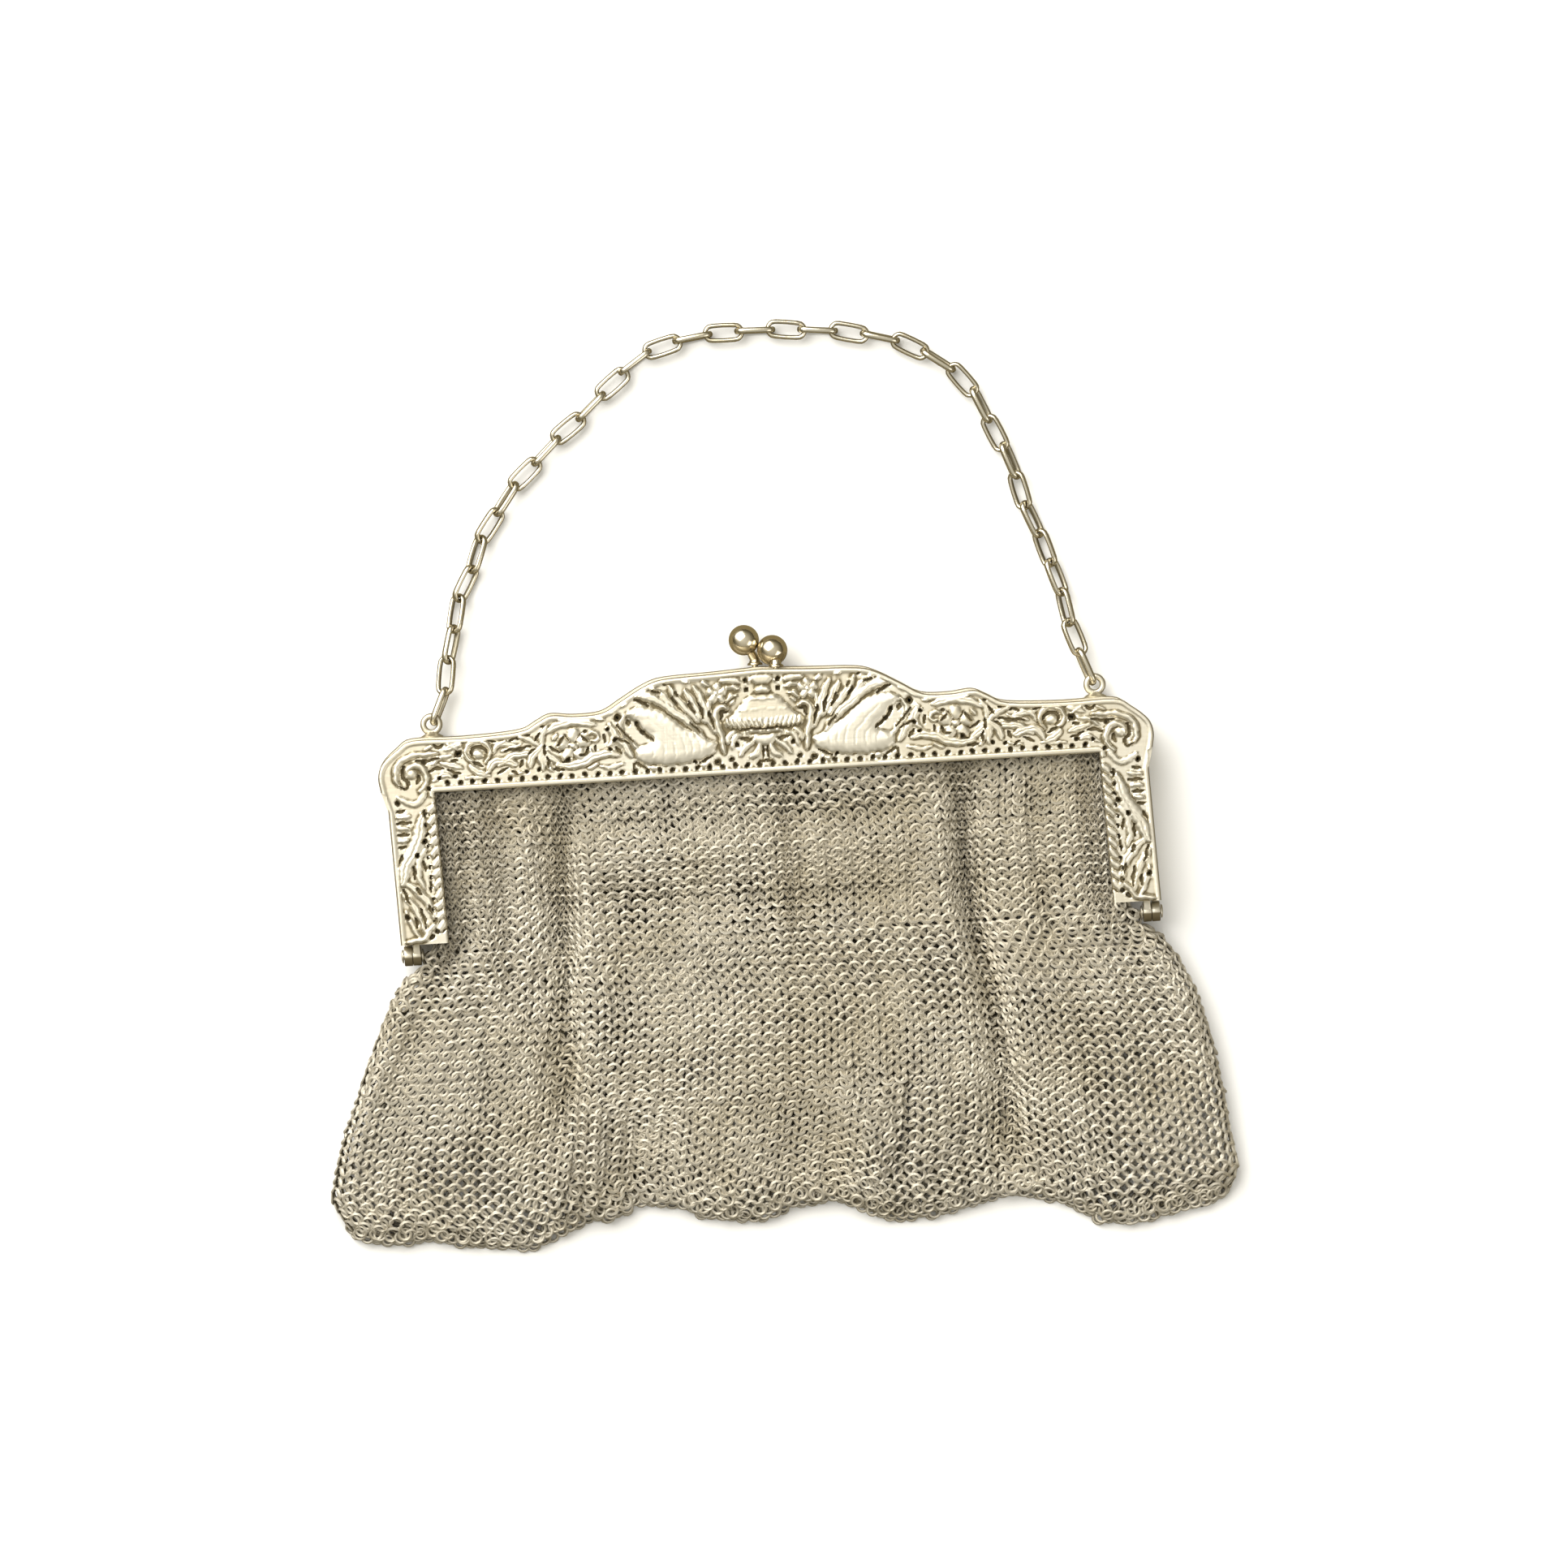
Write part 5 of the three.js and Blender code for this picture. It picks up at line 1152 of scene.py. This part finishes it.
    def build(self) -> None:
        """Builds, joins and dresses this half."""
        parts = [self.plate(), self.wall(), *self.leg_ends(), *self.knuckles()]
        # Painted shade: everything below the hinge axis, mostly the half of each hinge barrel towards the hem, is
        # darkened as the side turned away from the light.
        for part in parts[1:]:
            below = np.array([SIZES.hinge_y + 0.1 - vertex.co.y for vertex in part.data.vertices])
            set_recess_and_shade(part, np.clip(below / 0.5, 0, 1.1))
        obj = join(f"frame_{self.side.value}_dressed", parts)
        if self.side is Side.FRONT:
            obj.data.transform(Matrix.Translation((0, 0, SIZES.depth)))
        else:
            self.turn_over(obj)
        finish_piece(obj, FRAME_SILVER, [f"frame_{self.side.value}"], 50)

    def turn_over(self, obj: bpy.types.Object) -> None:
        """Turns the half face down and sets it off as the closed frame's back lies."""
        obj.data.transform(Matrix.Scale(-1, 4, (0, 0, 1)))
        points = np.zeros(len(obj.data.vertices) * 3)
        obj.data.vertices.foreach_get("co", points)
        points = points.reshape(-1, 3)
        share = np.clip(points[:, 1] / (SIZES.crest / 2), 0, 1)
        points[:, 0] -= share * SIZES.back_set[0]
        points[:, 1] += share * SIZES.back_set[1]
        obj.data.vertices.foreach_set("co", points.ravel())
        obj.data.flip_normals()


@dataclass
class HingePins:
    """The pins through the knuckles at the legs' ends."""

    sides: int = 32

    def build(self) -> None:
        """Builds both pins with their domed heads."""
        for name in ("left", "right"):
            node = f"hinge_pin_{name}"
            points = SIZES.plan_points(node)
            low, high = points.min(axis=0), points.max(axis=0)
            middle = (low + high) / 2
            radius = (high[1] - low[1]) / 2
            half = (high[0] - low[0]) / 2
            profile = [
                (0.0, -half), (0.55 * radius, -half + 0.04), (0.9 * radius, -half + 0.14), (radius, -half + 0.32),
                (radius, -half + 0.4), (0.62, -half + 0.42), (0.62, half - 0.42), (radius, half - 0.4),
                (radius, half - 0.32), (0.9 * radius, half - 0.14), (0.55 * radius, half - 0.04), (0.0, half),
            ]
            pin = spun(f"{node}_dressed", profile, self.sides)
            pin.data.transform(Matrix.Translation(middle) @ Matrix.Rotation(math.pi / 2, 4, "Z"))
            finish_piece(pin, FRAME_SILVER, [node])


# Clasp, eyes and chain


@dataclass
class Clasp:
    """The two balls that snap past each other, on stems riveted through the rim walls."""

    ball_radius: float = 3.0
    stem_radius: float = 0.95
    sides: int = 48

    def ball(self, node: str) -> None:
        """Builds one ball with its bent stem, collar and rivet head."""
        points = SIZES.plan_points(node)
        centre = points[np.argmax(points[:, 1])] - [0, self.ball_radius, 0]
        foot = points[points[:, 1] < points[:, 1].min() + 0.05].mean(axis=0)
        bpy.ops.mesh.primitive_uv_sphere_add(
            segments=self.sides, ring_count=self.sides // 2, radius=self.ball_radius, location=centre
        )
        parts = [bpy.context.object]
        bake_place(parts[0])
        collar = spun(
            "collar",
            [
                (0.0, 0.0), (1.2, 0.05), (1.3, 0.25), (1.25, 0.5), (0.6, 0.52), (0.6, 1.95), (1.45, 2.0), (1.5, 2.15),
                (1.42, 2.4), (1.1, 2.6), (0.98, 3.0), (0.93, 3.4), (0.0, 3.5),
            ],
            24,
        )
        collar.data.transform(Matrix.Translation(foot))
        parts += [collar, self.stem(foot + [0, 3.2, 0], centre)]
        obj = join(f"{node}_dressed", parts)
        # Painted shade: darker on the collar, the stem and the lowest part of the ball, the side towards the hem and
        # away from the light.
        low = np.array([vertex.co.y for vertex in obj.data.vertices])
        set_recess_and_shade(obj, np.clip(0.7 - (low - (centre[1] - self.ball_radius)) / 0.9, -0.3, 0.6))
        finish_piece(obj, BALL_SILVER, [node])

    def stem(self, start: np.ndarray, end: np.ndarray) -> bpy.types.Object:
        """Builds the tapering stem between the collar and the ball."""
        length = float(np.linalg.norm(end - start))
        radius = self.stem_radius
        profile = [(0.0, 0.0), (radius, 0.0), (0.85 * radius, 0.4 * length), (radius, length), (0.0, length)]
        obj = spun("stem", profile, 24)
        turn = Vector((0, 1, 0)).rotation_difference(Vector(end - start)).to_matrix().to_4x4()
        obj.data.transform(Matrix.Translation(start) @ turn)
        return obj

    def build(self) -> None:
        """Builds both balls."""
        self.ball("clasp_ball_back")
        self.ball("clasp_ball_front")


@dataclass
class ChainEyes:
    """The upright rings that hold the chain, each on a flared foot."""

    radius: float = 1.6
    wire: float = 0.6

    def build(self) -> None:
        """Builds both eyes."""
        for name in ("left", "right"):
            node = f"chain_eye_{name}"
            points = SIZES.plan_points(node)
            outermost = points[np.argmax(points[:, 0])]
            centre = np.array([(points[:, 0].min() + points[:, 0].max()) / 2, outermost[1], outermost[2]])
            foot = points[:, 1].min()
            bpy.ops.mesh.primitive_torus_add(
                location=centre, major_radius=self.radius, minor_radius=self.wire, major_segments=40, minor_segments=14
            )
            ring = bpy.context.object
            bake_place(ring)
            rise = centre[1] - self.radius - foot
            profile = [
                (0.0, 0.0), (1.25, 0.06), (1.3, 0.42), (0.6, 0.5), (0.6, rise - 1.1), (2.1, rise - 1.0),
                (2.2, rise - 0.75), (1.7, rise - 0.45), (1.0, rise - 0.1), (0.75, rise + 0.2), (0.0, rise + 0.2),
            ]
            base = spun("foot", profile, 32)
            base.data.transform(Matrix.Translation((centre[0], foot, centre[2])))
            obj = join(f"{node}_dressed", [ring, base])
            # Darker on the inner side of the eye's ring, towards its middle.
            spread = np.array([[v.co.x - centre[0], v.co.y - centre[1]] for v in obj.data.vertices])
            set_recess_and_shade(obj, np.clip((1.25 - np.hypot(spread[:, 0], spread[:, 1])) * 2, -0.4, 0.7))
            finish_piece(obj, FRAME_SILVER, [node])


@dataclass
class Chain:
    """The oval links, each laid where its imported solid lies."""

    wire: float = 0.9
    width: float = 3.9
    flattened: float = 1.35
    segments: int = 28
    sides: int = 10

    def link(self, length: float) -> bpy.types.Object:
        """Models one link along X: a ring pulled out to parallel sides, its wire a little flattened."""
        radius = (self.width - self.wire) / 2
        bpy.ops.mesh.primitive_torus_add(
            major_radius=radius, minor_radius=self.wire / 2, major_segments=self.segments, minor_segments=self.sides
        )
        obj = bpy.context.object
        pull = (length - self.width) / 2
        points = np.array([vertex.co for vertex in obj.data.vertices])
        share = np.clip(points[:, 0] / (0.35 * radius), -1, 1)
        points[:, 0] += pull * share
        points[:, 2] *= self.flattened
        around = np.hypot(np.array([v.co.x for v in obj.data.vertices]), points[:, 1])
        obj.data.vertices.foreach_set("co", points.ravel())
        # Darker on the inner side of the link's wire, paler on its outer side.
        set_recess_and_shade(obj, np.clip((radius - around) / self.wire * 1.6 - 0.1, -0.5, 0.75))
        return obj

    def build(self) -> None:
        """Copies the link to every packed link and joins the copies."""
        nodes = sorted(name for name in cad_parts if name.startswith("link_"))
        parts = []
        for node in nodes:
            points = SIZES.plan_points(node)
            centre = (points.min(axis=0) + points.max(axis=0)) / 2
            values, axes = np.linalg.eigh(np.cov((points - points.mean(axis=0)).T))
            along, across = axes[:, np.argmax(values)], axes[:, 1]
            length = np.ptp((points - centre) @ along)
            if not parts:
                model = self.link(float(length))
            copy = model.copy()
            copy.data = model.data.copy()
            bpy.context.scene.collection.objects.link(copy)
            basis = Matrix(np.column_stack([along, across, np.cross(along, across)]).tolist()).to_4x4()
            copy.data.transform(Matrix.Translation(centre) @ basis)
            parts.append(copy)
        bpy.data.objects.remove(model)
        obj = join("chain_dressed", parts)
        finish_piece(obj, CHAIN_SILVER, nodes, 60)


# Bag


@dataclass
class RingMeshBag:
    """The bag of ring mesh: rows of small rings, each lying over two above it and two below.

    Attributes:
        columns: Rings round one row, front and back together.
        row_step: Distance between rows.
        tilt: How far a ring leans from the cloth, in degrees; every other row leans the other way.
        swing: Spread of the rings' turns in the cloth, in radians.
        unrest: Spread of their leans, in degrees.
        slip: Spread of their places.
        size_drift: How much the rings' size varies.
        inset: Distance of the rings' middles from the outline.
        neck: Distance of the bag's sides from the middle, inside the frame.
        elbow: How far the sides step out right under the legs.
        mesh: Thickness of the cloth.
        floor_gap: Least height over the surface.
        full_width: Length of the cloth across the front before it is gathered.
        flutes: Numbers of fine upright ripples across the front.
        flute_rises: Their heights.
        hem_lines: For each closing line of rings its stagger, its place over the hem and its share of the height.
    """

    columns: int = 128
    row_step: float = 1.065
    tilt: float = 11.0
    swing: float = 0.13
    unrest: float = 6.0
    slip: float = 0.09
    size_drift: float = 0.05
    ring_radius: float = 1.2
    ring_wire: float = 0.33
    inset: float = 1.0
    length: float = 88.0
    left: float = 91.1
    right: float = 88.5
    mouth: float = 2.0
    neck: float = 69.2
    neck_end: float = -34.3
    elbow: float = 2.1
    mouth_top: float = 10.6
    side_round: float = 5.0
    mesh: float = 1.5
    hem_rings: int = 88
    floor_gap: float = 0.03
    full_width: float = 174.0
    flutes: tuple[int, int] = (27, 17)
    flute_rises: tuple[float, float] = (0.22, 0.16)
    hem_lines: tuple[tuple[float, float, float], ...] = ((0.0, 1.0, 0.9), (0.5, 0.3, 0.7), (0.25, -0.1, 0.35))
    seed: int = 7

    def front_height(self, x: np.ndarray, y: np.ndarray, across: np.ndarray) -> np.ndarray:
        """Height of the front of the cloth with its folds."""
        down = -y / self.length
        height = self.mouth_top * table(DRAPE, down)
        for x1, y1, x2, y2, width, rise in FOLDS:
            along = (down - y1) / (y2 - y1)
            fade = smoothstep(along, -0.1, 0.15) * (1 - smoothstep(along, 0.85, 1.1))
            off = (x / self.left - (x1 + (x2 - x1) * along)) / width
            height = height + self.mouth_top * rise * fade * np.exp(-off * off)
        for points, width, rise in RIPPLES:
            distance, share = line_distance(x, y, np.array(points, float))
            fade = smoothstep(share, -0.01, 0.12) * smoothstep(share, 1.01, 0.8)
            height = height + rise * fade * np.exp(-((distance / width) ** 2))
        for count, rise in zip(self.flutes, self.flute_rises):
            swell = 0.65 + 0.35 * np.sin(0.11 * x + 0.05 * y + count)
            height = height + rise * swell * np.sin(2 * np.pi * count * across + 1.2 * np.sin(3 * down + count))
        height = height + 14 * (table(HEM_LINE, across) - 0.985) * smoothstep(down, 0.65, 0.9)
        return np.minimum(height, self.mouth_top)

    def back_height(self, x: np.ndarray, y: np.ndarray) -> np.ndarray:
        """Height of the back of the cloth, on the surface or over the back plate."""
        clear_bar = np.minimum(-y, SIZES.opening - np.abs(x - SIZES.lean_at(y)))
        free = np.clip(np.maximum(clear_bar, -SIZES.leg_length - y) / (SIZES.leg_width - self.mesh), 0, 1)
        return (SIZES.plate + SIZES.clearance) * (1 - smoothstep(free, 0.1, 1))

    def section(self, y_row: float, samples: int = 600) -> np.ndarray:
        """Closed line round the bag at one row, from the left fold over the front and back under it."""
        share = max(0.0, (self.neck_end - y_row) / (self.length + self.neck_end))
        half_turn = 0.5 - 0.5 * np.cos(np.linspace(0, np.pi, samples // 2, endpoint=False))
        across = np.concatenate([half_turn, 1 - half_turn])
        is_front = np.concatenate([np.ones(samples // 2), -np.ones(samples // 2)])
        y = y_row * (1 + (table(HEM_LINE, across) - 1) * smoothstep(np.full(samples, share), 0.35, 1))
        lean = SIZES.lean * np.clip(-y / SIZES.leg_length, 0, 1)
        down = np.clip((self.neck_end - y) / (self.length + self.neck_end), 0, 1.05)
        elbow = self.elbow * smoothstep(-y, SIZES.leg_length + 1.2, SIZES.leg_length + 2.2)
        left = -((self.neck - lean) + np.maximum((self.left - self.neck + lean) * table(BAG_SIDES, down, 1), elbow))
        right = (self.neck + lean) + np.maximum((self.right - self.neck - lean) * table(BAG_SIDES, down, 2), elbow)
        x = left + self.inset + (right - left - 2 * self.inset) * across
        edge = np.minimum(x - left, right - x) - self.inset
        arch = np.sqrt(1 - (1 - np.clip(edge / (self.side_round - self.inset), 0, 1)) ** 2)
        top, low = self.front_height(x, y, across), self.back_height(x, y)
        half = np.maximum((top - low) / 2 - self.inset, 0.45) * arch
        return np.stack([x, y, (top + low) / 2 + is_front * half], axis=1)

    def levels(self) -> np.ndarray:
        """Height of every row on the plan, from the mouth down: closest together where the cloth bunches up."""
        y = np.linspace(self.mouth, 0.8 - self.length, 900)
        bunched = np.exp(-(((y + 15) / 9) ** 2)) + 0.4 * np.exp(-(((y + 62) / 6) ** 2))
        rows = np.cumsum((1 + 0.14 * bunched) / self.row_step) * (y[0] - y[1])
        return np.interp(np.arange(int(rows[-1]) + 1), rows, y)

    def cloth(self) -> np.ndarray:
        """Places over the whole cloth: four to a ring along each row, row by row."""
        sheets = []
        for level in self.levels():
            line = self.section(level)
            closed = np.vstack([line, line[:1]])
            sheets.append(self.spread(closed))
        return np.array(sheets)

    def spread(self, line: np.ndarray) -> np.ndarray:
        """Puts four points to a ring along a row, closer together where the front is gathered.

        Args:
            line: The closed line round the bag, over the front first.

        Returns:
            The points.
        """
        half = len(line) // 2
        front, back = line[: half + 1], line[half:]
        step = np.linalg.norm(np.diff(front, axis=0), axis=1)
        middle = (front[1:] + front[:-1]) / 2
        spare = max(0.0, self.full_width - step.sum())
        weight = step.copy()
        for points, share, width in GATHERS:
            track = np.array(points, float)
            at = np.interp(-middle[:, 1], -track[:, 1], track[:, 0])
            close = np.exp(-(((middle[:, 0] - at) / width) ** 2)) * step
            weight += spare * share * close / close.sum()
        along = np.concatenate([[0], np.cumsum(weight)]) / weight.sum()
        even = np.linspace(0, 1, 2 * self.columns, endpoint=False)
        top = np.stack([np.interp(even, along, front[:, axis]) for axis in range(3)], axis=1)
        return np.vstack([top, resample(back, 2 * self.columns + 1)[:-1]])

    def ring(self, segments: int, sides: int) -> tuple[np.ndarray, np.ndarray]:
        """Models one ring.

        Args:
            segments: Number of parts round the ring.
            sides: Number of sides of its wire.

        Returns:
            Its corners for a radius of one, as offsets, and its faces.
        """
        select_none()
        bpy.ops.mesh.primitive_torus_add(
            major_radius=self.ring_radius, minor_radius=self.ring_wire, major_segments=segments, minor_segments=sides
        )
        obj = bpy.context.object
        points = np.array([vertex.co for vertex in obj.data.vertices])
        faces = np.array([face.vertices for face in obj.data.polygons])
        bpy.data.objects.remove(obj)
        return points, faces

    def lay(
        self, name: str, centres: np.ndarray, axes: np.ndarray, normals: np.ndarray, fold_shade: np.ndarray,
        segments: int, sides: int,
    ) -> None:
        """Copies the ring to many places as one piece.

        Args:
            name: Name of the piece.
            centres: Middle of each ring.
            axes: For each ring the three columns of its own directions.
            normals: Direction out of the cloth at each ring.
            fold_shade: How deep each ring lies in a fold; it paints shade on a ring in a valley and light on a ring on
                a ridge.
            segments: Number of parts round the ring.
            sides: Number of sides of its wire.
        """
        points, faces = self.ring(segments, sides)
        offsets = np.einsum("nij,kj->nki", axes, points)
        depth = np.einsum("nki,ni->nk", offsets, normals)
        everything = (centres[:, None] + offsets).reshape(-1, 3)
        everything[:, 2] = np.maximum(everything[:, 2], self.floor_gap)
        numbers = (faces[None] + len(points) * np.arange(len(centres))[:, None, None]).reshape(-1, faces.shape[1])
        obj = new_mesh(name, everything, numbers)
        # Darker where a ring's wire dips below the cloth's face, patina together with painted shade for what shows
        # through the holes; darker still in the fold valleys and paler on the fold ridges, as painted shade and painted
        # light.
        set_recess_and_shade(obj, np.clip((0.15 - depth / 0.6 + 0.6 * fold_shade[:, None]).ravel(), -1, 1.4))
        finish_piece(obj, MESH_SILVER, ["mesh_bag"], 80)

    def rings(self) -> tuple[np.ndarray, np.ndarray, np.ndarray, np.ndarray]:
        """Works out where every ring lies and how it leans.

        Returns:
            The middles, directions and normals of all the rings, and how deep each lies in a fold, as painted shade in
            the valleys and painted light on the ridges.
        """
        cloth = self.cloth()
        random = np.random.default_rng(self.seed)
        front = cloth[:, : 2 * self.columns, 2]
        # Painted shade and light of the folds: how far the front lies below its blurred height, positive in a valley
        # and negative on a ridge.
        fold_shade_grid = np.zeros(cloth.shape[:2])
        fold_shade_grid[:, : 2 * self.columns] = np.clip((blur(front, 8) - front) / 0.7, -0.6, 1)
        centres, axes, normals, fold_shade = [], [], [], []
        for row in range(len(cloth)):
            at = (4 * np.arange(self.columns) + 2 * (row % 2)) % cloth.shape[1]
            along = np.roll(cloth[row], -2, axis=0)[at] - np.roll(cloth[row], 2, axis=0)[at]
            above, below = cloth[max(row - 1, 0)][at], cloth[min(row + 1, len(cloth) - 1)][at]
            pitch = np.linalg.norm(along, axis=1)
            u = along / pitch[:, None]
            normal = np.cross(below - above, u)
            normal /= np.linalg.norm(normal, axis=1)[:, None]
            v = np.cross(normal, u)
            swing = random.normal(0, self.swing, self.columns)[:, None]
            u, v = u * np.cos(swing) + v * np.sin(swing), v * np.cos(swing) - u * np.sin(swing)
            x, y = cloth[row][at][:, 0], cloth[row][at][:, 1]
            slack = np.sin(0.13 * x + 0.09 * y + 1) * np.sin(0.11 * y - 0.06 * x + 2)
            lean = (self.tilt + 7 * slack + random.normal(0, self.unrest, self.columns)) * (1 if row % 2 else -1)
            lean = np.radians(lean + 9 * np.sin(0.07 * x - 0.16 * y))[:, None]
            w = v * np.cos(lean) + normal * np.sin(lean)
            squeeze = np.minimum(1.0, 0.98 * pitch / (2 * self.ring_radius))[:, None]
            centres.append(cloth[row][at] + random.normal(0, self.slip, (self.columns, 3)))
            drift = np.sin(0.23 * x + 0.08 * y + 0.6) * np.sin(0.19 * y - 0.07 * x + 2.2)
            size = 1 - self.size_drift * drift[:, None]
            axes.append(np.stack([u * squeeze * size, w * size, np.cross(u, w)], axis=-1))
            normals.append(normal)
            fold_shade.append(fold_shade_grid[row][at])
        return np.concatenate(centres), np.concatenate(axes), np.concatenate(normals), np.concatenate(fold_shade)

    def build(self) -> None:
        """Lays the front in three pieces, the back in two and the hem's closing rings."""
        centres, axes, normals, fold_shade = self.rings()
        is_front = normals[:, 2] > -0.15
        bands = (
            (Side.FRONT, "left", -99, -26), (Side.FRONT, "middle", -26, 27), (Side.FRONT, "right", 27, 99),
            (Side.BACK, "left", -99, 0), (Side.BACK, "right", 0, 99),
        )
        for side, label, low, high in bands:
            here = is_front == (side is Side.FRONT)
            here &= (centres[:, 0] >= low) & (centres[:, 0] < high)
            shape = (10, 4) if side is Side.FRONT else (8, 3)
            self.lay(f"bag_{side.value}_{label}", centres[here], axes[here], normals[here], fold_shade[here], *shape)
        self.hem()

    def hem(self) -> None:
        """Lays the rings that close the hem, in three staggered lines along the scallops."""
        random = np.random.default_rng(self.seed + 1)
        centres, axes, normals = [], [], []
        for offset, rise, share in self.hem_lines:
            line = self.section(rise - self.length)[:300]
            even = resample(line, self.hem_rings + 1)
            points = even[:-1] + (even[1:] - even[:-1]) * offset
            for point, step in zip(points, even[1:] - even[:-1]):
                u = step / np.linalg.norm(step)
                normal = np.array([0, random.normal(-0.45, 0.35), 1.0])
                normal -= u * (normal @ u)
                normal /= np.linalg.norm(normal)
                w = np.cross(normal, u)
                out = random.normal(0, 0.28)
                centres.append([point[0], point[1] + out, max(point[2] * share, 0.9) + random.normal(0, 0.2)])
                axes.append(np.stack([u * 0.95, w * 0.95, np.cross(u, w)], axis=-1))
                normals.append(normal)
        self.lay("bag_hem", np.array(centres), np.array(axes), np.array(normals), np.full(len(centres), 0.0), 12, 5)


# Studio


@dataclass
class Studio:
    """Pale floor, soft light and the camera straight above."""

    view_middle: tuple[float, float] = (3.19, -2.42)
    field: float = 306.67
    distance: float = 1400.0
    turn: float = 3.45
    frame_height: float = 12.0
    sensor: float = 36.0
    floor_seen: tuple[float, float, float, float] = (0.93, 0.93, 0.925, 1)
    floor_mirrored: tuple[float, float, float, float] = (0.2, 0.17, 0.1, 1)
    softbox: tuple[float, float, float] = (-0.46, 0.55, 0.7)

    def floor(self) -> None:
        """Lays the floor under the purse."""
        select_none()
        bpy.ops.mesh.primitive_plane_add(size=6, location=(0, 0, 0))
        plane = bpy.context.object
        plane.name = "floor"
        material = bpy.data.materials.new("floor_paper")
        material.use_nodes = True
        material.node_tree.nodes.clear()
        maker = NodeMaker(material.node_tree)
        seen = maker.add("ShaderNodeLightPath").outputs["Is Camera Ray"]
        colour = maker.mix(seen, self.floor_mirrored, self.floor_seen)
        shader = maker.add("ShaderNodeBsdfDiffuse", {"Color": colour})
        maker.add("ShaderNodeOutputMaterial", {"Surface": shader.outputs["BSDF"]})
        plane.data.materials.append(material)

    def camera(self) -> None:
        """Sets the camera as the photograph was taken."""
        data = bpy.data.cameras.new("camera")
        data.sensor_width = self.sensor
        data.lens = self.sensor * self.distance / self.field
        data.clip_start = 0.05
        data.clip_end = 20
        camera = bpy.data.objects.new("camera", data)
        bpy.context.scene.collection.objects.link(camera)
        place = SIZES.origin() + Vector((*self.view_middle, self.frame_height + self.distance))
        camera.location = place * MM
        camera.rotation_euler = (0, 0, -math.radians(self.turn))
        bpy.context.scene.camera = camera

    def light(
        self, name: str, place: tuple[float, float, float], size: float, power: float,
        colour: tuple[float, float, float],
    ) -> None:
        """Adds a soft box that looks at the purse.

        Args:
            name: Name of the light.
            place: Its place in metres.
            size: Length of its sides in metres.
            power: Its power in watts.
            colour: Its colour.
        """
        data = bpy.data.lights.new(name, "AREA")
        data.size = size
        data.energy = power
        data.color = colour
        lamp = bpy.data.objects.new(name, data)
        bpy.context.scene.collection.objects.link(lamp)
        lamp.location = place
        lamp.rotation_euler = (-Vector(place)).to_track_quat("-Z", "Y").to_euler()

    def sky(self) -> None:
        """Surrounds the purse with light that falls off and warms towards the horizon."""
        world = bpy.data.worlds.new("studio_room")
        world.use_nodes = True
        tree = world.node_tree
        tree.nodes.clear()
        maker = NodeMaker(tree)
        direction = maker.add("ShaderNodeTexCoord").outputs["Generated"]
        split = maker.add("ShaderNodeSeparateXYZ", {0: direction})
        ramp = maker.add("ShaderNodeValToRGB", {"Fac": split.outputs["Z"]})
        ramp.color_ramp.elements[0].position = 0.02
        ramp.color_ramp.elements[0].color = (0.05, 0.04, 0.02, 1)
        ramp.color_ramp.elements[1].position = 1.0
        ramp.color_ramp.elements[1].color = (0.78, 0.765, 0.71, 1)
        for height, colour in ((0.4, (0.22, 0.2, 0.14, 1)), (0.8, (0.6, 0.575, 0.5, 1))):
            ramp.color_ramp.elements.new(height).color = colour
        towards = maker.add("ShaderNodeVectorMath", {0: direction, 1: self.softbox}, operation="DOT_PRODUCT")
        glow = maker.ramp(towards.outputs["Value"], 0.7, 0.98)
        sky = maker.mix(glow, ramp.outputs["Color"], (1.65, 1.61, 1.49, 1))
        seen = maker.add("ShaderNodeLightPath").outputs["Is Camera Ray"]
        sky = maker.mix(seen, sky, self.floor_seen)
        background = maker.add("ShaderNodeBackground", {"Color": sky, "Strength": 1.0})
        maker.add("ShaderNodeOutputWorld", {"Surface": background.outputs["Background"]})
        bpy.context.scene.world = world

    def build(self) -> None:
        """Builds the studio."""
        scene = bpy.context.scene
        scene.view_settings.view_transform = "Standard"
        scene.view_settings.look = "None"
        self.camera()
        self.floor()
        self.sky()
        self.light("key", (-0.62, 0.82, 1.1), 1.5, 30, (1.0, 0.98, 0.94))
        self.light("fill", (1.1, -0.7, 0.9), 0.9, 5, (1.0, 0.98, 0.95))


def main() -> None:
    """Builds the studio and every piece in order."""
    logging.basicConfig(level=logging.INFO, format="%(name)s: %(message)s")
    Studio().build()
    FrameHalf(Side.FRONT, 326, 80, 45, 150).build()
    FrameHalf(Side.BACK, 130, 24, 14, 48).build()
    HingePins().build()
    Clasp().build()
    ChainEyes().build()
    Chain().build()
    RingMeshBag().build()


if __name__ == "__main__":
    main()
